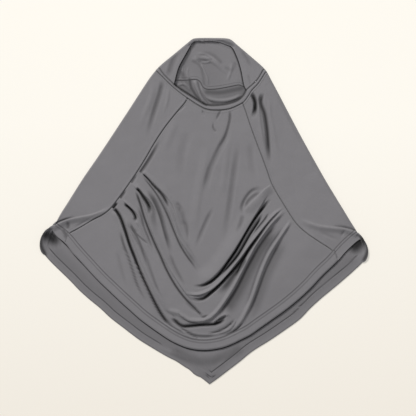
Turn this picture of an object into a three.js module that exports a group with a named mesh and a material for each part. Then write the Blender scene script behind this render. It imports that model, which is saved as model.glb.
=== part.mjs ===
// A slip-on jersey headscarf lying flat on its back: a hood with an open face, a neckband, a cape
// that wraps round both sides, and a front panel that is pleated into the cape's two front seams.
// The frame is in millimetres: +X to the right of the scarf as it is looked down on, +Y towards the
// crown of the hood and +Z up. The scarf lies on the surface at Z 0.
import * as THREE from "three";

// Cloth and seams.
const clothWall = 1.2;
const hemWall = 2.3; // the cloth turned up on itself
const hemWidth = 24;
const seamGap = 0.5; // left open between two pieces that are sewn together
const bandWidth = 13;
const bandWall = 2.2;
const bandProud = 0.6; // the neckband stands this far above the cloth beside it

// The cape, measured from the middle of the front neckline.
const capeWidth = 940; // across the lower corners, at the widest
const sideDrop = 350; // down to the end of the left side fold
const frontDrop = 692; // down to the lowest point of the front hem
const backDrop = 789; // down to the point of the back hem

// The hood, measured from the same place.
const hoodWidth = 305; // across the two neck corners
const hoodRise = 195; // up to the fold at the crown
const cornerRise = 104; // up to the neck corners
const hoodShift = 11; // the hood lies this far to the right
const faceWidth = 207; // the face opening at its widest
const faceShift = 8; // and this far to the right
const browWidth = 9; // the strip between the fold at the crown and the face opening

// How high the cloth lies.
const layerHeight = 12; // top of the upper layer at the side folds
const bodyRise = 3; // the upper layer swells this much in the middle
const hemDip = 1.5; // and drops this much at the front hem
const pleatRise = 11; // the unit of every fold's rise
const leftFlare = 24; // the side folds open this far at their lower ends
const rightFlare = 13;
const flareStart = 0.84; // from this share of the side fold on

// How finely each piece is divided. The neck stations are shared by all that meet at the neck seam,
// and the cape's rows by all that meet at the front seams.
const arcSteps = 5;
const capeRows = 16;
const hemStep = 1; // the hem's thickness is reached over this length
const shoulderStations = 6;
const panelStations = 8;
const panelColumnsPerStation = 3;
const cheekRows = 4;
const crownRows = 3;
const crownColumnsPerStation = 2;
const bandRows = 2;

const foldRadius = layerHeight / 2;
const lastRow = capeRows + 2;
const neckStations = shoulderStations * 2 + panelStations;
const at = (x, y) => new THREE.Vector2(x, y);
const onCape = ([x, y]) => at((x * capeWidth) / 2, -y * frontDrop);
const onSide = ([x, y]) => at((x * capeWidth) / 2, -y * sideDrop);
const onBack = ([x, y]) => at((x * capeWidth) / 2, -y * backDrop);
const onNeck = ([x, y]) => at(hoodShift + (x * hoodWidth) / 2, y * cornerRise);
const onHood = ([x, y]) => at(hoodShift + (x * hoodWidth) / 2, y * hoodRise);
const onFace = ([x, y]) => at(faceShift + (x * faceWidth) / 2, y * (hoodRise - browWidth));
const clamp = (value) => Math.min(1, Math.max(0, value));
const smooth = (value) => clamp(value) ** 2 * (3 - 2 * clamp(value));
const rise = (from, to, value) => smooth((value - from) / (to - from));

// A smooth line through points of the plan, read by its share of length.
function line(points) {
  const curve = new THREE.CatmullRomCurve3(points.map((p) => new THREE.Vector3(p.x, p.y, 0)));
  const pieces = 40;
  curve.arcLengthDivisions = pieces * (points.length - 1);
  const length = curve.getLength();
  const point = (share) => {
    const p = curve.getPointAt(clamp(share));
    return at(p.x, p.y);
  };
  const leftward = (share) => {
    const t = curve.getTangentAt(clamp(share));
    return at(-t.y, t.x).normalize();
  };
  const shareOfPoint = (index) => curve.getLengths()[index * pieces] / length;
  return { point, leftward, length, shareOfPoint };
}

// Straight facets between the whole stations of a line, so that fine and coarse pieces meet.
const facets = (pointAt) => (station) => {
  const from = Math.floor(station);
  const share = station - from;
  return share === 0 ? pointAt(from) : pointAt(from).lerp(pointAt(from + 1), share);
};

// The outline, from the left lower corner over the crown to the right lower corner.
// Each side runs straight from its neck corner and is bowed outwards by shares of its length.
const leftSideRows = [
  { along: 0.85, out: 0.006 },
  { along: 0.5, out: 0.01 },
  { along: 0.15, out: 0.012 },
];
const rightSideRows = [
  { along: 0.15, out: 0 },
  { along: 0.5, out: -0.014 },
  { along: 0.85, out: -0.01 },
];
const hemCorner = { left: onSide([-0.952, 1]), right: onSide([0.927, 1.06]) };
const neckCorner = { left: onNeck([-1, 1]), right: onNeck([1, 0.96]) };
const sidePoints = (rows, from, to) =>
  rows.map(({ along, out }) => {
    const run = to.clone().sub(from);
    const outward = at(-run.y, run.x).multiplyScalar(out * Math.sign(to.x));
    return from.clone().addScaledVector(run, along).add(outward);
  });
const leftSide = [hemCorner.left, ...sidePoints(leftSideRows, neckCorner.left, hemCorner.left)];
const rightSide = [...sidePoints(rightSideRows, neckCorner.right, hemCorner.right), hemCorner.right];
const crown = [
  [-0.785, 0.723],
  [-0.598, 0.847],
  [-0.36, 0.985],
  [-0.18, 1],
  [0.16, 1],
  [0.34, 0.985],
  [0.523, 0.869],
  [0.71, 0.745],
  [0.897, 0.599],
].map(onHood);
const outline = line([...leftSide, neckCorner.left, ...crown, neckCorner.right, ...rightSide]);
const neckShare = {
  left: outline.shareOfPoint(leftSide.length),
  right: outline.shareOfPoint(leftSide.length + crown.length + 1),
};
const hoodShare = {
  left: neckShare.left + bandWidth / outline.length,
  right: neckShare.right - bandWidth / outline.length,
};

// The outline is the outermost line of the rounded fold. Both layers start this far inside it.
const inset = (share) => outline.point(share).addScaledVector(outline.leftward(share), -foldRadius);

// The neck seam on the upper and on the lower layer, each from the left side fold to the right.
const neckFront = line([
  inset(neckShare.left),
  ...[
    [-0.75, 0.55],
    [-0.467, 0.19],
    [-0.17, -0.05],
    [0.1, -0.09],
    [0.374, -0.01],
    [0.6, 0.14],
    [0.76, 0.47],
  ].map(onNeck),
  inset(neckShare.right),
]);
const neckBack = line([
  inset(neckShare.left),
  ...[
    [-0.67, 0.79],
    [-0.4, 0.76],
    [-0.16, 0.6],
    [0.05, 0.52],
    [0.3, 0.56],
    [0.55, 0.62],
    [0.8, 0.78],
  ].map(onNeck),
  inset(neckShare.right),
]);
// The neckband's other edge, where the hood starts: the band's width above the neck seam.
const edgeShares = [0.12, 0.26, 0.4, 0.5, 0.6, 0.74, 0.88];
const aboveSeam = (seam) => (share) => seam.point(share).addScaledVector(seam.leftward(share), bandWidth);
const hoodEdge = (seam) =>
  line([inset(hoodShare.left), ...edgeShares.map(aboveSeam(seam)), inset(hoodShare.right)]);

// Where the two front seams meet the neck seam and the front hem, as shares of those lines.
const seamAtNeck = { left: 0.33, right: 0.685 };
const seamAtHem = { left: 0.04, right: 0.93 };

// The shares of the upper neck seam at its stations: shoulder, front panel, shoulder.
function frontNeckShare(station) {
  const rightStart = shoulderStations + panelStations;
  const { left, right } = seamAtNeck;
  if (station <= shoulderStations) return (left * station) / shoulderStations;
  if (station <= rightStart) return left + ((right - left) * (station - shoulderStations)) / panelStations;
  return right + ((1 - right) * (station - rightStart)) / shoulderStations;
}
const frontStations = (seam) => facets((station) => seam.point(frontNeckShare(station)));
const backStations = (seam) => facets((station) => seam.point(station / neckStations));
const neck = { front: frontStations(neckFront), back: backStations(neckBack) };
const hoodFoot = { front: frontStations(hoodEdge(neckFront)), back: backStations(hoodEdge(neckBack)) };

// The front hem, and the back hem as two lines that meet in its point.
const frontHem = line([
  inset(0),
  ...[
    [-0.836, 0.586],
    [-0.655, 0.724],
    [-0.412, 0.874],
    [-0.17, 0.979],
    [-0.02, 1],
    [0.133, 0.977],
    [0.376, 0.881],
    [0.618, 0.737],
    [0.8, 0.623],
  ].map(onCape),
  inset(1),
]);
const leftBackHem = line(
  [
    [-0.975, 0.53],
    [-0.897, 0.59],
    [-0.655, 0.727],
    [-0.291, 0.887],
    [0.01, 1],
  ].map(onBack),
);
const rightBackHem = line(
  [
    [0.01, 1],
    [0.194, 0.917],
    [0.558, 0.765],
    [0.861, 0.603],
    [0.952, 0.545],
  ].map(onBack),
);
const backHem = (share) =>
  share < 0.5 ? leftBackHem.point(share * 2) : rightBackHem.point(share * 2 - 1);

// The two front seams, each from the neck seam to the front hem.
const frontSeamRows = {
  left: [
    [-0.273, 0.091],
    [-0.412, 0.259],
    [-0.533, 0.37],
    [-0.624, 0.44],
    [-0.703, 0.468],
    [-0.836, 0.522],
  ],
  right: [
    [0.255, 0.066],
    [0.327, 0.218],
    [0.382, 0.321],
    [0.461, 0.412],
    [0.558, 0.496],
    [0.679, 0.56],
  ],
};
const frontSeam = (side) =>
  line([
    neckFront.point(seamAtNeck[side]),
    ...frontSeamRows[side].map(onCape),
    frontHem.point(seamAtHem[side]),
  ]);

// How far down a column of cloth a row lies, as a share of the column's length. The rows of the body
// take up bodyShare of it, then a close pair makes the step to the doubled hem.
function downShare(row, length, bodyShare = row / capeRows) {
  if (row <= capeRows) return (1 - hemWidth / length) * bodyShare;
  return row < lastRow ? 1 - (hemWidth - hemStep) / length : 1;
}
const seamStations = (seam) => facets((row) => seam.point(downShare(row, seam.length)));
const seams = { left: seamStations(frontSeam("left")), right: seamStations(frontSeam("right")) };

// Folds of the upper layer. Each runs along its path, in shares of the cape's half width and of its
// front drop. rise is a share of pleatRise. left and right are how far, in shares of the front drop,
// the fold falls away to each side of its path, looking along it. start and end are the shares of its
// length over which it comes up and dies away.
const foldRows = [
  // pleats from the right seam, top to bottom
  { rise: 0.5, left: 0.035, right: 0.013, start: 0.1, end: 0.25,
    path: [[0.38, 0.325], [0.315, 0.354], [0.255, 0.387], [0.206, 0.428]] },
  { rise: 0.9, left: 0.019, right: 0.066, start: 0.15, end: 0.3,
    path: [[0.35, 0.37], [0.285, 0.436], [0.224, 0.494], [0.145, 0.584], [0.073, 0.654],
      [-0.012, 0.708], [-0.091, 0.724]] },
  { rise: -0.3, left: 0.016, right: 0.014, start: 0.2, end: 0.2,
    path: [[0.339, 0.41], [0.261, 0.482], [0.2, 0.552], [0.121, 0.63], [0.036, 0.69],
      [-0.048, 0.733]] },
  { rise: 0.75, left: 0.016, right: 0.014, start: 0.1, end: 0.15,
    path: [[0.461, 0.418], [0.376, 0.461], [0.285, 0.523], [0.194, 0.597], [0.085, 0.679],
      [0, 0.733], [-0.091, 0.761], [-0.158, 0.75]] },
  { rise: -0.3, left: 0.02, right: 0.016, start: 0.2, end: 0.25,
    path: [[0.32, 0.51], [0.267, 0.58], [0.194, 0.654], [0.103, 0.73], [0.012, 0.77],
      [-0.079, 0.786]] },
  { rise: 0.85, left: 0.02, right: 0.016, start: 0.1, end: 0.15,
    path: [[0.455, 0.432], [0.364, 0.494], [0.285, 0.572], [0.224, 0.646], [0.17, 0.712],
      [0.103, 0.798], [0.024, 0.864], [-0.067, 0.889], [-0.158, 0.872], [-0.224, 0.845]] },
  { rise: -0.2, left: 0.032, right: 0.026, start: 0.3, end: 0.4,
    path: [[0.43, 0.48], [0.345, 0.547], [0.285, 0.638], [0.224, 0.733], [0.17, 0.794]] },
  { rise: 0.7, left: 0.029, right: 0.017, start: 0.1, end: 0.2,
    path: [[0.509, 0.465], [0.43, 0.535], [0.364, 0.613], [0.321, 0.679], [0.279, 0.761],
      [0.236, 0.848], [0.182, 0.901], [0.1, 0.934]] },
  // pleats from the left seam, top to bottom
  { rise: 0.6, left: 0.016, right: 0.016, start: 0.1, end: 0.3,
    path: [[-0.412, 0.262], [-0.309, 0.333], [-0.242, 0.399], [-0.194, 0.473], [-0.158, 0.556],
      [-0.103, 0.613], [-0.061, 0.663]] },
  { rise: 0.6, left: 0.013, right: 0.058, start: 0.1, end: 0.15,
    path: [[-0.467, 0.317], [-0.418, 0.383], [-0.382, 0.457], [-0.303, 0.58], [-0.218, 0.704],
      [-0.145, 0.782], [-0.03, 0.856]] },
  { rise: 0.4, left: 0.014, right: 0.023, start: 0.1, end: 0.4,
    path: [[-0.533, 0.374], [-0.473, 0.407], [-0.424, 0.465], [-0.364, 0.564], [-0.26, 0.733]] },
  { rise: 0.6, left: 0.038, right: 0.013, start: 0.1, end: 0.15,
    path: [[-0.576, 0.416], [-0.515, 0.457], [-0.473, 0.539], [-0.4, 0.658], [-0.327, 0.778],
      [-0.236, 0.872], [-0.13, 0.93], [-0.055, 0.955]] },
  { rise: 0.25, left: 0.02, right: 0.026, start: 0.4, end: 0.4,
    path: [[-0.527, 0.5], [-0.485, 0.617], [-0.436, 0.72], [-0.376, 0.82]] },
  // long soft folds of the shoulders and the front, then the crease above each lower corner
  { rise: 0.3, left: 0.023, right: 0.02, start: 0.3, end: 0.4,
    path: [[-0.29, -0.07], [-0.31, 0], [-0.33, 0.08], [-0.37, 0.18]] },
  { rise: 0.45, left: 0.014, right: 0.014, start: 0.3, end: 0.3,
    path: [[0.3, -0.04], [0.315, 0.02], [0.345, 0.12], [0.37, 0.25]] },
  { rise: 0.3, left: 0.02, right: 0.02, start: 0.3, end: 0.4,
    path: [[0.38, -0.06], [0.41, 0.05], [0.44, 0.2], [0.45, 0.3]] },
  { rise: 0.35, left: 0.023, right: 0.026, start: 0.3, end: 0.4,
    path: [[0.17, 0.07], [0.12, 0.16], [0.03, 0.3], [-0.02, 0.44], [-0.05, 0.55]] },
  { rise: 0.35, left: 0.038, right: 0.017, start: 0.2, end: 0.3,
    path: [[-0.92, 0.49], [-0.836, 0.463], [-0.703, 0.45], [-0.636, 0.428], [-0.56, 0.38]] },
  { rise: 0.35, left: 0.017, right: 0.038, start: 0.2, end: 0.3,
    path: [[0.87, 0.52], [0.8, 0.5], [0.71, 0.494], [0.63, 0.484], [0.558, 0.461], [0.51, 0.41]] },
];
const pathSteps = 24;
const folds = foldRows.map((row) => {
  const path = line(row.path.map(onCape));
  return { ...row, points: Array.from({ length: pathSteps + 1 }, (_, i) => path.point(i / pathSteps)) };
});

// How much one fold lifts the cloth at a place: a rounded bump about the nearest point of its path.
function foldLift(fold, place) {
  let nearest = { distance: Infinity };
  for (let i = 0; i < pathSteps; i++) {
    const start = fold.points[i];
    const run = fold.points[i + 1].clone().sub(start);
    const off = place.clone().sub(start);
    const share = clamp(off.dot(run) / run.lengthSq());
    off.addScaledVector(run, -share);
    if (off.length() < nearest.distance)
      nearest = { distance: off.length(), side: run.cross(off), share: (i + share) / pathSteps };
  }
  const reach = frontDrop * (nearest.side > 0 ? fold.left : fold.right);
  if (nearest.distance >= reach) return 0;
  const ends = smooth(nearest.share / fold.start) * smooth((1 - nearest.share) / fold.end);
  const bump = (1 + Math.cos((Math.PI * nearest.distance) / reach)) / 2;
  return pleatRise * fold.rise * ends * bump;
}

// Where the body swells and its hem dips, in shares of the front drop and of the cape's half width.
const swell = { start: -0.25, full: 0.15, fall: 0.7, end: 1, inner: 0.17, outer: 0.83 };
const dip = { atSides: 0.45, inMiddle: 0.85, over: 0.15 };

// The top of the upper layer over any place of the plan.
function upperHeight(place) {
  const down = -place.y / frontDrop;
  const across = Math.abs(place.x) / (capeWidth / 2);
  const swollenDown = rise(swell.start, swell.full, down) * (1 - rise(swell.fall, swell.end, down));
  const swollen = swollenDown * (1 - rise(swell.inner, swell.outer, across));
  const dipStart = dip.inMiddle + (dip.atSides - dip.inMiddle) * across;
  const dipped = rise(dipStart, dipStart + dip.over, down);
  const lift = folds.reduce((sum, fold) => sum + foldLift(fold, place), 0);
  return layerHeight + bodyRise * swollen - hemDip * dipped + lift;
}
const upper = (place, proud = 0) => new THREE.Vector3(place.x, place.y, upperHeight(place) + proud);
const lower = (place) => new THREE.Vector3(place.x, place.y, 0);

// The cloth between a top and a bottom line, both read by share, and two side lines read by row.
// down(row, length) is how far a row lies towards the bottom line. What the side lines stray from
// their own straight runs is passed on across the cloth.
function patch({ top, bottom, left, right, last, down }) {
  return (share, row) => {
    const from = top(share);
    const to = bottom(share);
    const fallen = down(row, from.distanceTo(to));
    const stray = (side) => side(row).sub(side(0).lerp(side(last), fallen));
    const place = from.lerp(to, fallen);
    return place.addScaledVector(stray(left), 1 - share).addScaledVector(stray(right), share);
  };
}

// A point of the rounded fold between the two layers. turn runs from 0 on the upper one to 1.
function overFold(high, low, outward, reach, turn) {
  const point = high.clone().lerp(low, (1 - Math.cos(Math.PI * turn)) / 2);
  const out = reach * Math.sin(Math.PI * turn);
  return point.add(new THREE.Vector3(outward.x * out, outward.y * out, 0));
}

// Reads the outer face of a piece into a grid of points. A ring's last column meets its first.
function makeGrid(rowCount, columns, ring = false) {
  const rows = Array.from({ length: rowCount }, (_, i) => columns.map((column) => column(i)));
  const width = columns.length;
  const wrap = (j) => (ring ? (j + width) % width : Math.min(Math.max(j, 0), width - 1));
  const point = (i, j) => rows[Math.min(Math.max(i, 0), rowCount - 1)][wrap(j)];
  return { rows, width, ring, wrap, point };
}

// Draws the chosen borders back by half the seam gap, along the cloth and square to the border.
function drawBack(grid, { first = false, last = false, sides = false }) {
  const { rows, width, point } = grid;
  const moves = [];
  const draw = (i, j, inward, along) => {
    inward.addScaledVector(along, -inward.dot(along) / along.lengthSq());
    moves.push([i, j, inward.setLength(seamGap / 2)]);
  };
  const drawRow = (i, inner) => {
    for (let j = 0; j < width; j++)
      draw(i, j, point(inner, j).clone().sub(point(i, j)), point(i, j + 1).clone().sub(point(i, j - 1)));
  };
  const drawColumn = (j, inner) => {
    for (let i = 0; i < rows.length; i++)
      draw(i, j, point(i, inner).clone().sub(point(i, j)), point(i + 1, j).clone().sub(point(i - 1, j)));
  };
  if (first) drawRow(0, 1);
  if (last) drawRow(rows.length - 1, rows.length - 2);
  if (sides) drawColumn(0, 1);
  if (sides) drawColumn(width - 1, width - 2);
  moves.forEach(([i, j, move]) => (rows[i][j] = rows[i][j].clone().add(move)));
  return grid;
}

// A closed solid under the outer face of a grid, wallAt(row) thick.
function clothSolid(grid, wallAt) {
  const { rows, width, ring, wrap, point } = grid;
  const cell = (i, j) => i * width + wrap(j);
  const outer = rows.flat();
  const normals = outer.map(() => new THREE.Vector3());
  for (let i = 0; i < rows.length - 1; i++)
    for (let j = 0; j < (ring ? width : width - 1); j++) {
      const falling = point(i + 1, j + 1).clone().sub(point(i, j));
      const rising = point(i, j + 1).clone().sub(point(i + 1, j));
      const normal = rising.cross(falling);
      const corners = [cell(i, j), cell(i, j + 1), cell(i + 1, j), cell(i + 1, j + 1)];
      corners.forEach((corner) => normals[corner].add(normal));
    }
  const inner = outer.map((p, i) =>
    p.clone().addScaledVector(normals[i].normalize(), -wallAt(Math.floor(i / width))),
  );
  const count = outer.length;
  const faces = [];
  const quad = (a, b, c, d) => faces.push(a, b, c, a, c, d);
  const rim = (a, b) => quad(a, b, b + count, a + count);
  const lastRim = rows.length - 1;
  const spans = ring ? width : width - 1;
  for (let j = 0; j < spans; j++) {
    for (let i = 0; i < lastRim; i++) {
      const [a, b, c, d] = [cell(i, j), cell(i, j + 1), cell(i + 1, j + 1), cell(i + 1, j)];
      quad(a, b, c, d);
      quad(a + count, d + count, c + count, b + count);
    }
    rim(cell(0, j + 1), cell(0, j));
    rim(cell(lastRim, j), cell(lastRim, j + 1));
  }
  if (!ring)
    for (let i = 0; i < lastRim; i++) {
      rim(cell(i, 0), cell(i + 1, 0));
      rim(cell(i + 1, width - 1), cell(i, width - 1));
    }
  const geometry = new THREE.BufferGeometry().setFromPoints([...outer, ...inner]);
  geometry.setIndex(faces);
  geometry.computeVertexNormals();
  return geometry;
}

const steps = (count) => Array.from({ length: count + 1 }, (_, i) => i / count);
const innerSteps = (count) => steps(count).slice(1, -1);
const bodyWall = (lastBodyRow) => (row) => (row > lastBodyRow ? hemWall : clothWall);

// The cape: left shoulder, left side fold, back, right side fold and right shoulder in one cloth.
function makeCape() {
  const sideLength = { left: neckShare.left * outline.length, right: (1 - neckShare.right) * outline.length };
  const down = (side) => (row) => downShare(row, sideLength[side]);
  const foldShare = {
    left: (row) => neckShare.left * (1 - down("left")(row)),
    right: (row) => neckShare.right + (1 - neckShare.right) * down("right")(row),
  };
  const fold = { left: (row) => inset(foldShare.left(row)), right: (row) => inset(foldShare.right(row)) };
  const flare = (side, row) => smooth((down(side)(row) - flareStart) / (1 - flareStart));
  // Near its end each side of the lower layer swings out to the back hem.
  const swung = {
    left: (row) => fold.left(row).lerp(backHem(0), flare("left", row)),
    right: (row) => fold.right(row).lerp(backHem(1), flare("right", row)),
  };
  const leftShoulder = patch({
    top: (share) => neck.front(shoulderStations * (1 - share)),
    bottom: (share) => frontHem.point(seamAtHem.left * (1 - share)),
    left: seams.left,
    right: fold.left,
    last: lastRow,
    down: downShare,
  });
  const rightShoulder = patch({
    top: (share) => neck.front(neckStations - shoulderStations * share),
    bottom: (share) => frontHem.point(1 - (1 - seamAtHem.right) * share),
    left: fold.right,
    right: seams.right,
    last: lastRow,
    down: downShare,
  });
  const back = patch({
    top: (share) => neck.back(neckStations * share),
    bottom: backHem,
    left: swung.left,
    right: swung.right,
    last: lastRow,
    down: downShare,
  });
  const foldColumn = (side, outwardAtEnd, reachAtEnd) => (turn) => (row) => {
    const opened = flare(side, row);
    const outward = outline.leftward(foldShare[side](row)).lerp(outwardAtEnd, opened);
    const reach = foldRadius + reachAtEnd * opened;
    return overFold(upper(fold[side](row)), lower(swung[side](row)), outward, reach, turn);
  };
  const leftFold = foldColumn("left", at(-1, 0), leftFlare);
  const rightFold = foldColumn("right", at(1, 0), rightFlare);
  const columns = [
    ...steps(shoulderStations).map((share) => (row) => upper(leftShoulder(share, row))),
    ...innerSteps(arcSteps).map((turn) => leftFold(turn)),
    ...steps(neckStations).map((share) => (row) => lower(back(share, row))),
    ...innerSteps(arcSteps).map((turn) => rightFold(1 - turn)),
    ...steps(shoulderStations).map((share) => (row) => upper(rightShoulder(share, row))),
  ];
  const grid = drawBack(makeGrid(lastRow + 1, columns), { first: true, sides: true });
  return clothSolid(grid, bodyWall(capeRows));
}

// The front panel's rows crowd together where its pleats leave the seams: between two of the cape's
// rows it has a number of its own, and reaches a share of its own length.
const panelBands = [
  { fromRow: 0, toRow: 7, fromShare: 0, toShare: 0.66, rowsEach: 2 },
  { fromRow: 7, toRow: 12, fromShare: 0.66, toShare: 0.94, rowsEach: 6 },
  { fromRow: 12, toRow: capeRows, fromShare: 0.94, toShare: 1, rowsEach: 2 },
];

function makeFrontPanel() {
  const panelShare = (row) => {
    const band = panelBands.find(({ toRow }) => row <= toRow) ?? panelBands.at(-1);
    const share = (row - band.fromRow) / (band.toRow - band.fromRow);
    return band.fromShare + (band.toShare - band.fromShare) * share;
  };
  const panel = patch({
    top: (share) => neck.front(shoulderStations + panelStations * share),
    bottom: (share) => frontHem.point(seamAtHem.left + (seamAtHem.right - seamAtHem.left) * share),
    left: seams.left,
    right: seams.right,
    last: lastRow,
    down: (row, length) => downShare(row, length, panelShare(row)),
  });
  const bodyRows = panelBands.flatMap(({ fromRow, toRow, rowsEach }) => {
    const count = (toRow - fromRow) * rowsEach;
    return Array.from({ length: count }, (_, i) => fromRow + i / rowsEach);
  });
  const rows = [...bodyRows, capeRows, capeRows + 1, lastRow];
  const columns = steps(panelStations * panelColumnsPerStation).map(
    (share) => (i) => upper(panel(1 - share, rows[i])),
  );
  const grid = drawBack(makeGrid(rows.length, columns), { first: true, sides: true });
  return clothSolid(grid, bodyWall(bodyRows.length));
}

// The hood: the cheeks and the brow of the upper layer, the fold at the crown and the back of the
// head. Its side borders follow the neck seam from the face opening to the side folds, then on under
// the hood, and its last row the rest of the neck seam.
const faceStation = { left: 3.4, right: neckStations - cheekRows };
const cheekStations = (faceStation.left + cheekRows) / 2;
const facePoints = [
  [-0.903, 0.561],
  [-0.766, 0.743],
  [-0.572, 0.91],
  [-0.476, 0.988],
  [-0.159, 1],
  [0.062, 1],
  [0.255, 0.978],
  [0.421, 0.94],
  [0.586, 0.894],
  [0.752, 0.697],
  [0.903, 0.379],
].map(onFace);
const faceEdge = line([hoodFoot.front(faceStation.left), ...facePoints, hoodFoot.front(faceStation.right)]);

function makeHood() {
  const crownStations = neckStations - 2 * crownRows;
  const outlineShare = (share) => hoodShare.left + (hoodShare.right - hoodShare.left) * share;
  const crownFold = (share) => inset(outlineShare(share));
  const front = patch({
    top: faceEdge.point,
    bottom: crownFold,
    left: (row) => hoodFoot.front(Math.min(cheekRows - row, faceStation.left)),
    right: (row) => hoodFoot.front(Math.max(neckStations - cheekRows + row, faceStation.right)),
    last: cheekRows,
    down: (row) => 1 - Math.min(cheekRows - row, cheekStations) / cheekStations,
  });
  const back = patch({
    top: crownFold,
    bottom: (share) => hoodFoot.back(crownRows + crownStations * share),
    left: (row) => hoodFoot.back(row),
    right: (row) => hoodFoot.back(neckStations - row),
    last: crownRows,
    down: (row) => row / crownRows,
  });
  const column = (share) => (row) => {
    if (row <= cheekRows) return upper(front(share, row));
    if (row >= cheekRows + arcSteps) return lower(back(share, row - cheekRows - arcSteps));
    const edge = crownFold(share);
    const outward = outline.leftward(outlineShare(share));
    return overFold(upper(edge), lower(edge), outward, foldRadius, (row - cheekRows) / arcSteps);
  };
  const columns = steps(crownStations * crownColumnsPerStation).map(column);
  const grid = makeGrid(cheekRows + arcSteps + crownRows + 1, columns);
  return clothSolid(drawBack(grid, { last: true, sides: true }), () => clothWall);
}

// The neckband: a ring between the neck seam and the hood, folded at both sides.
function makeNeckband() {
  const across = (from, to) => (station, row) => from(station).lerp(to(station), row / bandRows);
  const front = across(neck.front, hoodFoot.front);
  const back = across(neck.back, hoodFoot.back);
  const side = (from, to) => (turn) => (row) => {
    const share = from + ((to - from) * row) / bandRows;
    const edge = inset(share);
    return overFold(upper(edge, bandProud), lower(edge), outline.leftward(share), foldRadius, turn);
  };
  const leftSideAt = side(neckShare.left, hoodShare.left);
  const rightSideAt = side(neckShare.right, hoodShare.right);
  const stations = Array.from({ length: neckStations + 1 }, (_, i) => i);
  const columns = [
    ...stations.map((station) => (row) => upper(front(station, row), bandProud)),
    ...innerSteps(arcSteps).map((turn) => rightSideAt(turn)),
    ...stations.map((station) => (row) => lower(back(neckStations - station, row))),
    ...innerSteps(arcSteps).map((turn) => leftSideAt(1 - turn)),
  ];
  const grid = drawBack(makeGrid(bandRows + 1, columns, true), { first: true, last: true });
  return clothSolid(grid, () => bandWall);
}

const jersey = { color: 0x817f82, roughness: 0.95, metalness: 0 };
const scarf = new THREE.Group();
const pieces = {
  cape: makeCape(),
  front_panel: makeFrontPanel(),
  neckband: makeNeckband(),
  hood: makeHood(),
};
for (const [name, geometry] of Object.entries(pieces)) {
  const mesh = new THREE.Mesh(geometry, new THREE.MeshStandardMaterial(jersey));
  mesh.name = name;
  scarf.add(mesh);
}

// The origin is the middle of the underside of the whole scarf.
const box = new THREE.Box3().setFromObject(scarf);
const middle = box.getCenter(new THREE.Vector3());
scarf.children.forEach((mesh) => mesh.position.set(-middle.x, -middle.y, -box.min.z));

export default scarf;
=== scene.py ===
# A grey jersey slip-on headscarf, spread out on its back on a pale surface and seen from above.
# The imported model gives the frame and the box; every cloth piece is modelled here at full detail.
import math
import bmesh
import bpy
import numpy as np
from mathutils import Matrix, Vector, noise


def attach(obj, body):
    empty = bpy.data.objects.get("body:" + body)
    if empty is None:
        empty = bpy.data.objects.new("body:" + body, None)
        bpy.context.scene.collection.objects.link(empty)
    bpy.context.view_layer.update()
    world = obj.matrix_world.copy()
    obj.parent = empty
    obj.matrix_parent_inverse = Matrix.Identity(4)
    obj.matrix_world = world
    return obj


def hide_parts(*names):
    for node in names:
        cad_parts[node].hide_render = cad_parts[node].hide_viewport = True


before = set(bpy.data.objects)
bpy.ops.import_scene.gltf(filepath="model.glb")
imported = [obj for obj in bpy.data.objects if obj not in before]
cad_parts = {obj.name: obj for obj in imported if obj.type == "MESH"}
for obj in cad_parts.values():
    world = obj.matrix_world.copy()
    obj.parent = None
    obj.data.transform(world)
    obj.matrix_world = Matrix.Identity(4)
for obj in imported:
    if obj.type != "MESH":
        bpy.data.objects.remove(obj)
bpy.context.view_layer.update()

# Where the photo's pixels lie in the frame: one pixel in metres, and the pixel of the frame's origin.
photo = dict(pixel=0.00285, originX=204.2, originY=211.2)

cloth = dict(
    wall=0.0010,          # jersey, a single layer
    hemWall=0.0019,       # the cloth turned up on itself
    layer=0.0115,         # top of the upper layer at the side folds
    swell=0.0025,         # and how much higher it lies in the middle
    hemDrop=0.0062,       # and how much lower at the front hem
    lowest=0.0032,        # no valley of the upper layer goes below this
    hemWidth=0.0300,
    backHemWidth=0.0220,
    stitchRows=(0.0212, 0.0288),   # the two needle lines, from the front hem's edge
)

fineSteps = 24      # points of a smooth curve between two given ones, before they are evened out
strokeSteps = 26    # steps in the line of a fold


def px(points):
    # photo pixels to metres in the frame
    p = np.asarray(points, float)
    return np.stack(
        [(p[..., 0] - photo["originX"]) * photo["pixel"], (photo["originY"] - p[..., 1]) * photo["pixel"]],
        axis=-1,
    )


def evenly(points, count):
    # the same line with its points at even steps of length
    steps = np.linalg.norm(np.diff(points, axis=0), axis=1)
    run = np.concatenate([[0], np.cumsum(steps)])
    at = np.linspace(0, run[-1], count + 1)
    return np.stack([np.interp(at, run, points[:, k]) for k in range(points.shape[1])], axis=-1)


def smoothLine(points, count=400):
    # a centripetal curve through the points, the kind that never loops between them
    p = np.asarray(points, float)
    p = np.concatenate([[2 * p[0] - p[1]], p, [2 * p[-1] - p[-2]]])
    knots = np.sqrt(np.maximum(np.linalg.norm(np.diff(p, axis=0), axis=1), 1e-9))
    fine = []
    for i in range(1, len(p) - 2):
        d0, d1, d2 = knots[i - 1], knots[i], knots[i + 1]
        t1 = ((p[i] - p[i - 1]) / d0 - (p[i + 1] - p[i - 1]) / (d0 + d1) + (p[i + 1] - p[i]) / d1) * d1
        t2 = ((p[i + 1] - p[i]) / d1 - (p[i + 2] - p[i]) / (d1 + d2) + (p[i + 2] - p[i + 1]) / d2) * d1
        t = np.linspace(0, 1, fineSteps, endpoint=False)[:, None]
        h = [2 * t**3 - 3 * t**2 + 1, t**3 - 2 * t**2 + t, -2 * t**3 + 3 * t**2, t**3 - t**2]
        fine.append(h[0] * p[i] + h[1] * t1 + h[2] * p[i + 1] + h[3] * t2)
    fine.append(p[-2:-1])
    return evenly(np.concatenate(fine), count)


def drawn(points, count=120):
    # a smooth line through photo pixels
    return smoothLine(px(points), count)


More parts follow.
